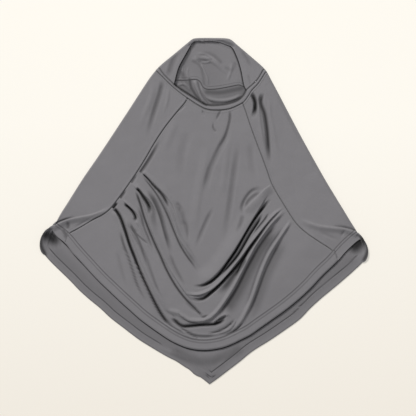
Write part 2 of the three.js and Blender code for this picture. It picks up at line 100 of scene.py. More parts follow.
def readLine(line, share):
    at = np.clip(np.asarray(share, float), 0, 1) * (len(line) - 1)
    return np.stack([np.interp(at, np.arange(len(line)), line[:, k]) for k in range(line.shape[1])], axis=-1)


def lineLength(line):
    return float(np.linalg.norm(np.diff(line, axis=0), axis=1).sum())


def leftOf(line):
    # unit vectors to the left of a plane line at each of its points
    t = np.gradient(line, axis=0)
    t /= np.maximum(np.linalg.norm(t, axis=1), 1e-12)[:, None]
    return np.stack([-t[:, 1], t[:, 0]], axis=-1)


def offsetLine(line, distance):
    return line + leftOf(line) * distance


def hump(value):
    # 1 at 0, falling away to 0 at 1 with a rounded top and foot
    return 0.5 + 0.5 * np.cos(math.pi * np.clip(value, 0, 1))


def bell(value, width):
    return np.exp(-((value / width) ** 2))


def ramp(start, stop, value):
    # 0 up to start, 1 from stop on
    t = np.clip((value - start) / (stop - start), 0, 1)
    return t * t * (3 - 2 * t)


def nearestOn(points, line, reach):
    # distance, signed side and share of length of the nearest place on a line, for points within reach
    inside = np.all((points > line.min(0) - reach) & (points < line.max(0) + reach), axis=1)
    ids = np.nonzero(inside)[0]
    p = points[ids]
    best = np.full(len(ids), np.inf)
    side = np.zeros(len(ids))
    share = np.zeros(len(ids))
    last = len(line) - 1
    for i in range(last):
        a = line[i]
        run = line[i + 1] - a
        off = p - a
        t = np.clip(off @ run / max(run @ run, 1e-16), 0, 1)
        away = off - t[:, None] * run
        d = np.linalg.norm(away, axis=1)
        closer = d < best
        best = np.where(closer, d, best)
        side = np.where(closer, run[0] * away[:, 1] - run[1] * away[:, 0], side)
        share = np.where(closer, (i + t) / last, share)
    return ids, best, side, share


print("lines of the pattern")

# The lines of the garment in the photo, in photo pixels.
pattern = dict(
    # the outline, from the left lower corner over the crown to the right lower corner
    leftSide=[(50.7, 228.8), (59.6, 215.4), (69.8, 200.2), (80, 183), (96, 160), (129.7, 109), (140, 93),
              (150.7, 77)],
    crown=[(157.6, 68.6), (161.4, 64.8), (175.7, 53), (186.5, 44), (192.6, 39.2), (195.6, 38.4),
           (212, 38.1), (226, 38.6), (230.2, 39.5), (238.2, 46), (251.6, 57.4), (265.2, 69.9)],
    rightSide=[(271.6, 81), (302, 138.6), (331, 190), (338, 201), (350, 221), (356.8, 232), (361.6, 237.8)],
    # the neck seam on the upper layer and, seen through the face opening, on the lower one
    neckFront=[(163, 77.6), (169, 83.6), (175.4, 89.4), (182.9, 95.3), (193.6, 102.7), (200, 106.6),
               (206, 109.4), (215.9, 110.6), (229.3, 109.2), (238.2, 105.6), (243.4, 102.6), (248.2, 96.4),
               (251.4, 91.2), (258, 84)],
    bandFront=[(164.4, 75.6), (170.4, 81.4), (175.6, 86.2), (182.9, 91), (193.6, 97.8), (200.6, 102.2),
               (205.2, 104.8), (210.6, 105.9), (220.4, 105.6), (229.3, 104.1), (238.2, 100.7),
               (243.6, 95.6), (246.4, 90.6), (250.7, 86.6), (257.4, 80)],
    neckBack=[(166, 79.2), (176, 80.2), (186, 80.2), (196.6, 79.6), (200.4, 82.2), (202.8, 86.8),
              (206.4, 89), (216, 89), (225, 87.6), (234, 85.8), (239.4, 85), (244, 86.8), (250, 86),
              (258, 80)],
    # the edge of the face opening, from the neckband on the left, over the brow, to the right
    faceEdge=[(174.0, 84.6), (175.7, 77.7), (177.3, 71.6), (179.3, 66.1), (184.6, 56.3), (188.9, 48.6),
              (191.4, 43.6), (193.4, 41.6), (197.5, 41.2), (206, 41.0), (213, 41.2), (220, 42.4),
              (226.5, 44.8), (230.6, 46.4), (232.6, 48.2), (237.3, 58), (240.0, 66), (241.8, 73.2),
              (243.2, 81), (244.6, 87), (246.4, 90.4)],
    leftSeam=[(187.6, 98.6), (185.4, 102.6), (178.6, 110.7), (171.4, 119.4), (163.4, 130), (154.4, 143.8),
              (146.2, 158), (138.8, 170), (130, 183), (118.8, 198.6), (111.4, 208), (107, 212.2),
              (102, 215.6), (95, 219), (83, 226), (76, 230), (70, 233.4), (67.4, 238), (65.8, 243.4)],
    rightSeam=[(242.7, 103.6), (246, 113), (250, 125), (256.5, 143), (263, 160), (267, 171), (271, 182.5),
               (275, 190.5), (280, 199), (285, 207), (290, 215), (294, 221), (300, 228), (310, 236),
               (320, 242.6), (332, 250.8), (335.4, 255.8), (337.6, 260.6)],
    frontHem=[(51.5, 230.4), (57, 236), (65.6, 243.5), (73.4, 253.6), (80, 260.5), (90, 271.5), (100, 282),
              (110, 291.5), (120, 301), (130, 310), (140, 319), (150, 326.5), (160, 333.5), (170, 340),
              (180, 345), (190, 348.4), (205, 350), (222, 347.6), (232, 344), (241, 339.6), (250, 335),
              (260, 328), (270, 321), (286, 309.5), (300, 298), (311, 287.6), (321.6, 276.2), (336, 262.4),
              (345, 252.2), (350.8, 246.4), (357, 241), (359.8, 239.2)],
    backHemLeft=[(44.6, 254.8), (50.4, 261.4), (60, 270.8), (70, 280.5), (79, 290), (89, 299), (100, 308),
                 (110, 317.4), (125, 329), (139, 339.6), (150, 346.5), (160, 352.5), (168.6, 357.4),
                 (175.6, 360.8), (185, 367), (189.4, 369.6), (195.4, 375.2), (199.8, 376.8),
                 (209.5, 384.2)],
    backHemRight=[(209.5, 384.2), (217, 379), (228, 370.6), (240, 361.4), (252, 351.6), (270, 340.2),
                  (285, 330), (300, 319), (310, 308.6), (320, 299.4), (338, 284.5), (347.4, 276.4),
                  (357.4, 267.4), (362.4, 262.6)],
)
outline = smoothLine(px(pattern["leftSide"] + pattern["crown"] + pattern["rightSide"]), 1600)


def shareOn(line, point):
    # how far along a line the nearest place to a photo pixel is
    return float(np.argmin(np.linalg.norm(line - px([point])[0], axis=1))) / (len(line) - 1)


def bothShares(line, left, right):
    return dict(left=shareOn(line, left), right=shareOn(line, right))


neckShare = bothShares(outline, (155.9, 70.9), (266.9, 71.9))
hoodShare = bothShares(outline, (158.3, 67.9), (264.6, 69.3))
foldRadius = cloth["layer"] / 2
outlineInset = offsetLine(outline, -foldRadius)


def closedLine(start, points, end, count=600):
    # a line through photo pixels that starts and ends on the inset outline
    middle = px(points)
    ends = [readLine(outlineInset, [share])[0] for share in (start, end)]
    return smoothLine(np.concatenate([[ends[0]], middle, [ends[1]]]), count)


neckFront = closedLine(neckShare["left"], pattern["neckFront"], neckShare["right"])
neckBack = closedLine(neckShare["left"], pattern["neckBack"], neckShare["right"])
hoodFront = closedLine(hoodShare["left"], pattern["bandFront"], hoodShare["right"])
raisedBack = offsetLine(neckBack, 0.0072)[48:-48:24]
hoodBack = smoothLine(np.concatenate([hoodFront[:1], raisedBack, hoodFront[-1:]]), 600)
faceAtBand = bothShares(hoodFront, pattern["faceEdge"][0], pattern["faceEdge"][-1])
faceEnds = readLine(hoodFront, [faceAtBand["left"], faceAtBand["right"]])
faceEdge = smoothLine(np.concatenate([faceEnds[:1], px(pattern["faceEdge"][1:-1]), faceEnds[1:]]), 700)
hemSteps = 900
frontHem = np.concatenate([outlineInset[:1], px(pattern["frontHem"][1:-1]), outlineInset[-1:]])
frontHem = smoothLine(frontHem, hemSteps)
backHem = np.concatenate([drawn(pattern["backHemLeft"], 500), drawn(pattern["backHemRight"], 500)[1:]])
seamAtNeck = bothShares(neckFront, pattern["leftSeam"][0], pattern["rightSeam"][0])
seamStarts = readLine(neckFront, [seamAtNeck["left"], seamAtNeck["right"]])
leftSeam = smoothLine(np.concatenate([seamStarts[:1], px(pattern["leftSeam"][1:])]), 700)
rightSeam = smoothLine(np.concatenate([seamStarts[1:], px(pattern["rightSeam"][1:])]), 700)
seamAtHem = bothShares(frontHem, pattern["leftSeam"][-1], pattern["rightSeam"][-1])
leftSeam[-1] = readLine(frontHem, [seamAtHem["left"]])[0]
rightSeam[-1] = readLine(frontHem, [seamAtHem["right"]])[0]

# A fold is a stroke. path is in photo pixels, lengths are in millimetres. rise is the height of the crest,
# or the depth of a hollow where it is below 0. width is how far it falls away to the left and to the right
# of the path, and ends are the shares of its length over which it comes up and dies away. In the rest,
# lean is how far the crest leans over to the left, dark the painted crease shade of a hollow, dim the share
# of the width which that painted shade covers, and light the painted highlight on a crest.
def stroke(path, rise, width, ends, **rest):
    line = drawn(path, strokeSteps)
    return dict(line=line, rise=rise, left=width[0], right=width[1], start=ends[0], end=ends[1], **rest)


# Folds of the upper layer.
upperFolds = [
    # the bib's right edge: a short flap, then the long crest with the hollow under it, dark with painted
    # shade
    stroke([(271, 185.5), (262.7, 192), (253, 201), (243.3, 212)], 6, (24, 4), (0.1, 0.2), lean=-2.5),
    stroke([(264, 190), (254, 190.5), (247, 197), (242, 208), (243, 217)], -4.5, (5, 9), (0.3, 0.3)),
    stroke([(243, 214), (240, 224), (235, 234)], -2.5, (8, 9), (0.2, 0.5), dark=0.3, dim=1),
    stroke([(243.6, 208), (248.6, 200), (255.6, 194.4), (262, 191)], -1, (8, 8), (0.25, 0.3), dark=0.46,
        dim=1),
    stroke([(268, 192), (252.4, 216), (240.4, 236.4), (230, 253), (221.4, 265), (213.6, 274), (204, 281.4),
        (197, 284.6)], 7, (8, 42), (0.15, 0.12), lean=3),
    stroke([(271.5, 198.6), (262.4, 208.6), (253.8, 220), (248.8, 227.6), (244.4, 235), (240.4, 242.4),
        (236.2, 250), (232, 256.4), (227.9, 262), (223.4, 268.6), (219.4, 274), (212.4, 280.6),
        (205.4, 284.6), (199, 286.4), (192, 285.8)], -11, (5.5, 6.5), (0.14, 0.16), dark=1, dim=1.1),
    stroke([(262, 212), (255.6, 221.6), (247, 236), (239, 250), (230, 263), (219.6, 275)], -0.6, (9, 8),
        (0.2, 0.2), dark=0.6, dim=1),
    stroke([(262.6, 213), (259.4, 220), (254.4, 228), (249.8, 235), (245.6, 242.4), (241.2, 250),
        (237, 256.4), (232.4, 262), (226.6, 268.6), (221.4, 274), (217, 279)], -6.5, (4.6, 5), (0.15, 0.2),
        dark=1, dim=1),
    stroke([(269, 213), (264.6, 220), (258, 228), (252, 235.6)], -3.5, (4, 5), (0.2, 0.3), dark=0.42,
        dim=1),
    # the crossing crest and the hollow below it, black with painted shade
    stroke([(284, 207.6), (275.6, 212.4), (268, 220), (261.6, 227.6), (255.9, 235), (250, 242.4),
        (244.5, 250), (240, 256.4), (235.4, 262), (225.9, 274), (213.9, 286), (205, 291.6), (195, 294),
        (184, 291.6)], 7.5, (6, 6), (0.1, 0.12), lean=2, light=1.5),
    stroke([(278.4, 212), (270.6, 220), (264.2, 228), (258.8, 235), (253.4, 242.4), (248, 250),
        (243.8, 256.4), (239.8, 262), (234.4, 268.4), (228.9, 274), (217.7, 286), (210, 292.8),
        (203.4, 298.2), (196, 299.4), (189, 297)], -12, (8, 5), (0.36, 0.16), dark=1, dim=1.0),
    stroke([(251.6, 243), (248.4, 250), (242.2, 262), (236.6, 273.4), (231.6, 282)], -4, (5, 6), (0.2, 0.3),
        dark=1, dim=1),
    stroke([(246.6, 254), (241, 264), (234, 274), (226, 285.4), (216.6, 295)], -1.5, (17, 14), (0.15, 0.3),
        dark=0.74, dim=1),
    # the third crest, which sweeps on into the swag above the hem
    stroke([(285, 209.5), (273, 220.4), (266, 228), (260.7, 235), (255.6, 242.4), (251.8, 250),
        (245.4, 262), (239.2, 274), (233, 286), (225.6, 298), (217, 310), (211, 316), (205, 319),
        (197, 320), (187.6, 318.6), (180, 313), (173, 310), (165, 311.5)], 8.5, (11, 6), (0.08, 0.1),
        lean=1, light=1.6),
    stroke([(277, 223.6), (267.4, 235), (256.8, 250), (249.8, 262), (243.6, 274), (237.8, 286),
        (230.4, 298), (221.6, 310), (214.6, 316.6)], -5, (14, 6), (0.12, 0.15), dark=0.66, dim=1),
    stroke([(277, 223.6), (267.4, 235), (256.8, 250), (249.8, 262), (243.6, 274), (237.6, 286), (230, 298),
        (221, 311)], -0.8, (44, 6), (0.2, 0.1), dark=0.68, dim=1),
    stroke([(171, 318.2), (175.6, 321), (179.2, 324.2), (183, 326.2), (189, 326), (195, 325.4),
        (201, 324.6), (207, 324.3), (213, 324.2), (219, 322.4), (226, 318)], -10, (6, 6), (0.1, 0.12),
        dark=1, dim=1.15),
    stroke([(173, 311), (178.4, 313), (182.4, 316.4), (187.4, 320.4), (194, 322), (203, 321.8)], -3.4,
        (4, 4), (0.25, 0.3), dark=0.62, dim=1),
    stroke([(183, 331), (195, 335), (207, 336), (220, 333.6)], -2.4, (10, 10), (0.2, 0.3), dark=0.5),
    stroke([(186, 300), (192, 306.6), (199, 312)], -2, (14, 12), (0.3, 0.4), dark=0.3),
    # the fourth crest and the hollow outside it
    stroke([(291, 219.5), (285.6, 227.6), (280.6, 235), (275.4, 242.4), (270.6, 250), (267.2, 256),
        (264.4, 262), (259.6, 274), (255.4, 286), (251.2, 298), (246, 310), (240, 321), (231, 329.5),
        (216.7, 334.5)], 7, (10, 6), (0.08, 0.25), lean=1, light=1.5),
    stroke([(283.6, 226), (278, 235), (268, 250), (262, 262), (257, 274), (253, 286), (249, 298),
        (244, 310)], -2, (4, 6), (0.15, 0.2), dark=0.36, dim=1),
    stroke([(284.4, 235), (275.8, 250), (269.8, 262), (264.4, 274), (259.8, 286), (255.2, 298), (250, 310),
        (243, 321)], -4.4, (13, 6), (0.2, 0.25), dark=0.5, dim=1),
    stroke([(284.4, 235), (275.8, 250), (269.8, 262), (264.4, 274), (259.8, 286), (255.2, 298), (250, 310),
        (243, 321)], -0.8, (34, 6), (0.2, 0.25), dark=0.44, dim=1),
    # the small hooks and swags above the hem
    stroke([(211, 324.4), (216.4, 319), (221, 315.8), (225.4, 314), (231, 317)], 5, (3.4, 4), (0.15, 0.2),
        lean=-1),
    stroke([(214.6, 323), (220.4, 318.4), (227, 316)], -6, (3.6, 3.6), (0.2, 0.3), dark=0.8, dim=1),
    stroke([(200, 315), (203.6, 316.6), (208, 314.6)], -3, (4, 4), (0.3, 0.3), dark=0.8, dim=1),
    stroke([(219, 334), (229, 328.5), (236.5, 318.5)], 4, (5, 5), (0.2, 0.2), lean=-1),
    stroke([(207, 333.6), (215.6, 332), (224, 328.6), (232, 322.4), (236, 317.6)], -5.5, (4, 4),
        (0.25, 0.25), dark=0.72, dim=1),
    stroke([(216.6, 336), (222.8, 332.6), (231, 328.8), (237.4, 323)], -2.4, (3.5, 3.5), (0.25, 0.3),
        dark=0.46, dim=1),
    stroke([(184, 331), (200, 334.5), (214, 334), (226, 330)], 3, (6, 6), (0.3, 0.3)),
    stroke([(222.6, 336.4), (231.6, 332.2), (238.4, 327.4), (243.6, 321)], -4, (4, 4), (0.25, 0.3),
        dark=0.76, dim=1),
    stroke([(165, 309), (170, 313.5), (178, 318)], -3.5, (5, 5), (0.3, 0.3)),
    # the bib's left edge: two close crests with a narrow hollow between them, black with painted shade, and
    # the soft hollows beside
    stroke([(141, 171), (150, 178.2), (158.5, 186.7), (168.6, 197.6), (173.6, 205.6), (176.7, 214.5),
        (179.4, 224), (182, 234)], 6, (11, 4), (0.06, 0.3), lean=-1.5),
    stroke([(142.5, 172.6), (157, 188.4), (160.4, 192), (164.6, 197.8), (167.8, 204), (170.6, 211)], -7,
        (4.5, 4.5), (0.1, 0.3), dark=0.98, dim=1),
    stroke([(175.6, 202), (180, 206.6), (181.6, 213)], -3, (6, 6), (0.3, 0.4), dark=0.3),
    stroke([(180.4, 220.6), (186.4, 225.6), (188, 234), (188, 243)], -3.4, (5, 8), (0.3, 0.5), dark=0.34),
    stroke([(146.4, 177), (158.5, 192.3), (168, 206.6), (174, 220), (180, 237), (188, 249.4),
        (196.4, 262.4), (200, 269)], 6.5, (8, 8), (0.1, 0.2), lean=-2),
    stroke([(143, 176.4), (155.5, 192), (162.3, 204), (167.6, 214.6), (173, 228), (176.4, 236),
        (179.8, 244), (187, 256), (193.6, 265), (198.6, 273)], -5, (4, 4.5), (0.1, 0.15), dark=0.72, dim=1),
    stroke([(147, 190), (151, 196.4), (155.4, 204), (160.2, 216), (163.4, 228), (168, 244), (171.4, 256)],
        -5.5, (13, 5), (0.2, 0.3), dark=0.66, dim=1),
    stroke([(129.6, 221), (132, 228), (137, 236), (140.4, 244), (144.8, 256), (149.6, 270)], -2.4, (6, 6),
        (0.2, 0.4), dark=0.5, dim=1),
    stroke([(138, 206), (141.8, 216), (144.8, 228), (148, 236), (151.2, 244), (154, 251)], -2, (4, 6),
        (0.2, 0.3), dark=0.46, dim=1),
    stroke([(128.6, 224), (132.6, 229), (138, 233)], -1, (9, 9), (0.3, 0.3), dark=0.4, dim=1),
    stroke([(183, 240), (190, 254), (198, 266)], -1, (14, 8), (0.3, 0.4), dark=0.3, dim=1),
    stroke([(148, 196), (153, 207), (155, 220), (158, 232)], -1, (8, 14), (0.2, 0.5), dark=0.34, dim=1),
    stroke([(175, 203), (181, 212), (184, 222), (188, 236)], -1.2, (15, 7), (0.25, 0.4), dark=0.3, dim=1),
    stroke([(169, 250), (175, 266), (182, 279), (187.4, 287)], -3, (7, 7), (0.3, 0.3), dark=0.3),
    # the second pleat on the left
    stroke([(136.6, 187.8), (140.8, 192), (144.8, 198), (148.4, 204), (150.2, 208.6), (150.4, 216)], -12,
        (6, 6), (0.08, 0.35), dark=1, dim=1.15),
    stroke([(141, 189), (150, 199), (157.4, 210.5), (162, 223), (166.6, 237.6), (169.6, 249)], 4.5, (8, 6),
        (0.15, 0.3), lean=-1),
    stroke([(133, 184), (139.6, 191.5), (143.6, 201), (147.4, 212), (152, 228), (159.6, 246.4), (169, 266),
        (179, 281.6), (188.4, 295), (197, 304.6)], 5.5, (17, 3.5), (0.06, 0.15), lean=-2),
    stroke([(136, 191), (140.6, 204), (144, 216), (148.4, 228), (155.2, 244), (160.8, 256), (166.2, 268.6),
        (175, 284.6), (184, 297), (190, 303.6), (196.4, 310), (203, 316.6)], -6, (4.5, 4.5), (0.06, 0.04),
        dark=0.86, dim=1),
    # the third
    stroke([(124.6, 203.6), (132.6, 211.4), (135.8, 217.6), (134.2, 222)], -11, (5.5, 5.5), (0.15, 0.2),
        dark=1, dim=1),
    stroke([(122.6, 199.6), (131.6, 207), (139, 215), (143, 228)], 4.5, (6, 4), (0.15, 0.3), lean=-1),
    stroke([(131.4, 222.6), (134.6, 231.6), (142, 239), (150.4, 245.6)], -4, (3.5, 4), (0.2, 0.3)),
    stroke([(129.6, 220), (129.4, 228), (137, 241), (147, 256)], -3, (4, 4), (0.2, 0.4)),
    stroke([(133, 217), (139.4, 226), (143.6, 236), (152.6, 251)], 2.5, (5, 4), (0.2, 0.4)),
    # the fourth, with the long hollow, black with painted shade
    stroke([(113.6, 208), (117, 212), (120.1, 216.6), (125, 229.4), (129.8, 244.8), (134.4, 256.4),
        (136.9, 263.2), (143.5, 279.4), (145.8, 284.4), (150.7, 294.7), (158.5, 309.4), (162.6, 316.2),
        (166.6, 321.4), (173.8, 327.4)], -11, (6.4, 5.5), (0.03, 0.1), dark=1, dim=1.15),
    stroke([(114, 209), (118, 212.4), (121.6, 219)], -3, (8, 8), (0.2, 0.4), dark=0.8),
    stroke([(113.2, 209.7), (119, 220.6), (123.4, 232.7), (128.2, 247), (135.6, 265.5), (143.6, 282),
        (151.6, 297), (158, 310)], 4.5, (3.5, 14), (0.06, 0.2), lean=2),
    stroke([(122.4, 211), (131.4, 233.6), (140.6, 258), (150, 279), (160, 299), (170, 316)], 4, (20, 6),
        (0.15, 0.2)),
    stroke([(120, 230), (123.6, 244), (128, 256), (132.4, 269), (137.2, 284), (141, 292), (148.4, 304)],
        -3.4, (5, 5), (0.15, 0.3), dark=0.55, dim=1),
    stroke([(117, 249), (122.6, 272), (128, 290)], -1.8, (8, 8), (0.3, 0.4), dark=0.16),
    stroke([(141, 243), (149, 264), (157, 286), (164.6, 303)], -2.6, (7, 8), (0.3, 0.3), dark=0.3),
    stroke([(172.4, 325.4), (183, 332), (192, 336.6), (201, 340)], 3.4, (4, 4), (0.2, 0.3)),
    stroke([(164.8, 320.4), (172.6, 326.6), (182.3, 332), (187, 334.8)], -3.4, (3.5, 3.5), (0.2, 0.3),
        dark=0.68, dim=1),
    stroke([(165, 326.4), (170, 329), (176, 332.2), (182, 336)], -1, (4, 4), (0.25, 0.3), dark=0.4, dim=1),
    stroke([(180, 326.8), (188.4, 332.2), (199.6, 339.8)], -3.6, (3.6, 3.6), (0.15, 0.3), dark=0.74, dim=1),
    # the cloth just under the seam sinks between one pleat and the next
    stroke([(161, 139.6), (154.6, 150.6), (148, 161.6), (142.6, 169.6), (139.8, 173.6)], -4.6, (9, 6),
        (0.45, 0.06), dark=0.6, dim=1),
    stroke([(138.4, 173), (131.4, 183.6)], -5, (6, 4), (0.5, 0.1), dark=0.4, dim=1),
    stroke([(127.6, 188.4), (120.2, 199)], -5, (6, 4), (0.5, 0.1), dark=0.6, dim=1),
    stroke([(118, 202), (112.8, 208.6)], -7, (6, 4), (0.4, 0.1), dark=0.95, dim=1),
    # soft folds of the bib, and the small ones under the neckband
    stroke([(229, 124), (225.6, 137.5), (220.4, 146.8), (214.6, 158.9), (210, 170), (206.4, 184),
        (205, 196)], -4, (13, 12), (0.3, 0.25), dark=0.24, dim=1),
    stroke([(239.4, 140), (236.4, 160), (232.6, 186), (230, 206), (226, 232), (224, 246)], -3.4, (12, 14),
        (0.3, 0.4), dark=0.22, dim=1),
    stroke([(177, 118), (170, 136), (163, 154)], 1.6, (16, 16), (0.3, 0.4)),
    stroke([(188, 130), (182, 156), (180, 184)], -1.6, (20, 20), (0.3, 0.4), dark=0.08),
    stroke([(250, 140), (252, 166), (256, 184)], -1.6, (16, 16), (0.3, 0.4), dark=0.10),
    stroke([(214, 206), (206, 222), (199.6, 237), (195, 251)], -3, (10, 8), (0.3, 0.4), dark=0.26, dim=1),
    stroke([(210, 140), (203.6, 170), (198, 200), (193.6, 240)], 2, (14, 22), (0.3, 0.3)),
    stroke([(229, 132), (226, 160), (221, 200)], 1.4, (14, 14), (0.3, 0.3)),
    stroke([(221, 110.4), (218.2, 116), (215.4, 120.6)], -2.4, (5, 5), (0.2, 0.4), dark=0.4, dim=1),
    stroke([(230, 110.6), (230.2, 118), (228.2, 128), (225.2, 137.6), (220, 147.4), (214, 159)], -3, (6, 7),
        (0.1, 0.5), dark=0.46, dim=1),
    stroke([(202, 110.6), (203.4, 113.4), (206, 115)], -3.4, (3, 3), (0.3, 0.4)),
    stroke([(213.6, 122), (213, 127), (214.6, 130.4), (217.4, 130.6)], -2, (4, 4), (0.5, 0.2), dark=0.46,
        dim=1),
    stroke([(186, 104.6), (181, 110), (176, 113)], -2, (4, 4), (0.3, 0.5)),
    # the shoulders, with the crease beside the neckband on the right, black with painted shade
    stroke([(163, 80), (160.6, 92), (157.6, 102), (153.6, 114.4), (150, 128), (147, 142)], -4.4, (11, 10),
        (0.15, 0.5), dark=0.4, dim=1),
    stroke([(169, 86), (167.6, 100), (163, 116)], 2, (7, 8), (0.3, 0.5)),
    stroke([(154, 80), (152, 95), (146, 112), (138, 130)], 2, (12, 12), (0.3, 0.5)),
    stroke([(250.4, 92.6), (253.4, 98), (255, 103.4), (255, 109), (252.6, 119)], -10, (8.6, 7.6),
        (0.24, 0.4), dark=1, dim=1.05),
    stroke([(262.6, 93), (260.8, 103), (264.6, 114.4), (267, 130), (268.4, 148), (270, 166)], -6.5, (8, 10),
        (0.1, 0.3), dark=0.88, dim=1),
    stroke([(257.6, 98), (258.6, 113), (261.6, 136), (266, 158)], 4, (7, 7), (0.2, 0.4)),
    stroke([(267.6, 96), (270, 116), (274.6, 140), (279, 165)], 2.6, (9, 5), (0.2, 0.5)),
    stroke([(272, 84), (283, 108), (296, 134), (306, 158)], -2, (8, 8), (0.3, 0.5)),
    # the crease that runs from each seam to the lower corner
    stroke([(51, 228.6), (58, 224.6), (67.3, 220.4), (81.7, 217.2), (93, 214.8), (104.6, 210.2),
        (111, 206)], 5.5, (3, 16), (0.04, 0.25), lean=1.5, light=1.6),
    stroke([(51, 227.6), (55.4, 224), (60, 221.4), (68, 218.6), (78, 216.4)], -3.6, (4, 3), (0.06, 0.5),
        dark=0.72, dim=1),
    stroke([(67.4, 221.4), (68.6, 225), (67.6, 230)], -2.4, (8, 8), (0.3, 0.3), dark=0.5, dim=1),
    stroke([(63, 226), (65, 233), (67.6, 240)], -1.4, (10, 10), (0.3, 0.3), dark=0.46, dim=1),
    stroke([(299, 217.6), (309, 222.9), (317.6, 225.8), (327.3, 227.3), (345, 229.3), (352, 231.4),
        (358.6, 234)], 5.5, (3, 16), (0.25, 0.04), lean=1.5, light=1.6),
    stroke([(330, 225.6), (345.6, 227.6), (352, 229.4), (358, 232.4)], -3, (4, 3), (0.5, 0.1), dark=0.62,
        dim=1),
    stroke([(340.4, 237), (343, 232.6), (346, 230.6)], -2.4, (5, 5), (0.3, 0.3)),
    stroke([(74, 228), (84, 222.6), (94, 218.6)], -1.6, (6, 8), (0.3, 0.4)),
    stroke([(318, 232), (330, 236.6), (340, 240.6)], -1.6, (7, 7), (0.3, 0.4)),
    # the cheeks of the hood
    stroke([(180, 50), (174, 60), (170.6, 70), (168, 80)], -3, (14, 12), (0.3, 0.3), dark=0.26, dim=1),
    stroke([(241, 50), (247, 60), (253, 71)], -2.6, (9, 9), (0.3, 0.4)),
    stroke([(247.5, 74), (250, 82), (251.5, 88)], -1.8, (5, 5), (0.3, 0.4)),
]

# Folds of the lower layer where it shows, through the face opening and below the front hem.
lowerFolds = [
    stroke([(190, 62), (200, 57.5), (212, 61), (221, 68), (228, 75)], 3.6, (11, 9), (0.3, 0.4)),
    stroke([(194, 53.6), (206, 54.6), (216, 61), (225, 70)], 2.4, (5, 5), (0.3, 0.4)),
    stroke([(200.5, 61.6), (205.6, 62.6), (211.4, 61)], 3.2, (3, 4), (0.25, 0.3)),
    stroke([(200.6, 63.5), (204.6, 72), (207.6, 80), (208, 86)], 3.2, (4, 4), (0.2, 0.3)),
    stroke([(183, 64), (182.4, 70), (184, 76)], 2, (4, 4), (0.3, 0.3)),
    stroke([(188.6, 66), (187.4, 74), (189, 80)], 1.8, (4, 4), (0.3, 0.3)),
    stroke([(232, 62), (230.6, 72), (226.6, 82)], 1.8, (6, 6), (0.3, 0.3)),
    stroke([(176.6, 86), (183, 84), (189, 87.6), (189.6, 92)], 3, (4, 5), (0.2, 0.3)),
    stroke([(194.4, 80), (197, 88), (200.6, 97), (204.6, 106)], 6, (6, 5), (0.12, 0.2)),
    stroke([(200.6, 84), (203, 92), (209, 99), (218, 102)], 3.4, (4, 5), (0.3, 0.4)),
    stroke([(205.6, 96.4), (214, 100), (224, 100.6), (234, 98.4), (243, 94.4)], 4.6, (7, 8), (0.2, 0.2)),
    stroke([(150, 344), (166, 350), (186, 358), (204, 364)], 1.6, (9, 9), (0.4, 0.4)),
    stroke([(196, 352), (203, 362), (208, 374)], 1.2, (8, 8), (0.4, 0.4)),
    stroke([(236, 349), (226, 358), (216, 371)], 1.4, (9, 9), (0.4, 0.4)),
]


deepest = -6          # millimetres, a hollow this deep or deeper has steep sides and a flat bottom
# the painted highlight of a crest reaches no farther than this from its line
crestHighlightReach = 0.008     # a crest is pale no farther than this from its line, metres


def foldField(points, folds):
    # height, sideways lean, painted crease shade and painted crest highlight of all folds at plane points
    height = np.zeros(len(points))
    lean = np.zeros((len(points), 2))
    dark = np.zeros(len(points))
    light = np.zeros(len(points))
    for fold in folds:
        rise = fold["rise"]
        reach = max(fold["left"], fold["right"]) / 1000
        ids, distance, side, share = nearestOn(points, fold["line"], reach)
        width = np.where(side > 0, fold["left"], fold["right"]) / 1000
        ends = ramp(0, fold["start"], share) * ramp(0, fold["end"], 1 - share)
        bump = hump(distance / width) if rise > deepest else 1 - ramp(0.25, 1, distance / width)
        height[ids] += rise / 1000 * bump * ends
        if fold.get("lean"):
            at = np.clip(share * (len(fold["line"]) - 1), 0, len(fold["line"]) - 1)
            lefts = leftOf(fold["line"])
            away = np.stack([np.interp(at, np.arange(len(lefts)), lefts[:, k]) for k in (0, 1)], axis=-1)
            lean[ids] += away * (fold["lean"] / 1000 * bump * ends)[:, None]
        if rise < 0:
            strength = fold.get("dark", min(1, max(0, (-rise - 0.8) / 9.5)))
            narrow = distance / (width * fold.get("dim", 0.8))
            fade = hump(narrow) if strength < 0.9 else 1 - ramp(0.18, 1, narrow)
            dark[ids] = np.maximum(dark[ids], strength * fade * ends)
        else:
            strength = fold.get("light", min(1, rise / 8))
            narrow = distance / np.minimum(width, crestHighlightReach)
            light[ids] = np.maximum(light[ids], strength * hump(narrow) * ends)
    return height, lean, dark, light


def groove(points, line, width, at=0.0):
    # 1 in the middle of a groove along a line, 0 from width on. The middle is at to the left of the line.
    path = offsetLine(line, at) if at else line
    ids, distance, _, _ = nearestOn(points, path[::4], width)
    cut = np.zeros(len(points))
    cut[ids] = hump(distance / width)
    return cut


def wobble(points, scale, seed):
    # slow even noise over the plane, from -1 to 1
    return np.array([noise.noise(Vector((x / scale, y / scale, seed))) for x, y in points])


def softFloor(z, lowest, ease=0.001):
    # keeps z above lowest with a rounded turn
    return lowest + 0.5 * ((z - lowest) + np.sqrt((z - lowest) ** 2 + ease * ease))


openBand = readLine(hoodFront, np.linspace(faceAtBand["left"], faceAtBand["right"], 300))
bibNeck = readLine(neckFront, np.linspace(seamAtNeck["left"], seamAtNeck["right"], 300))
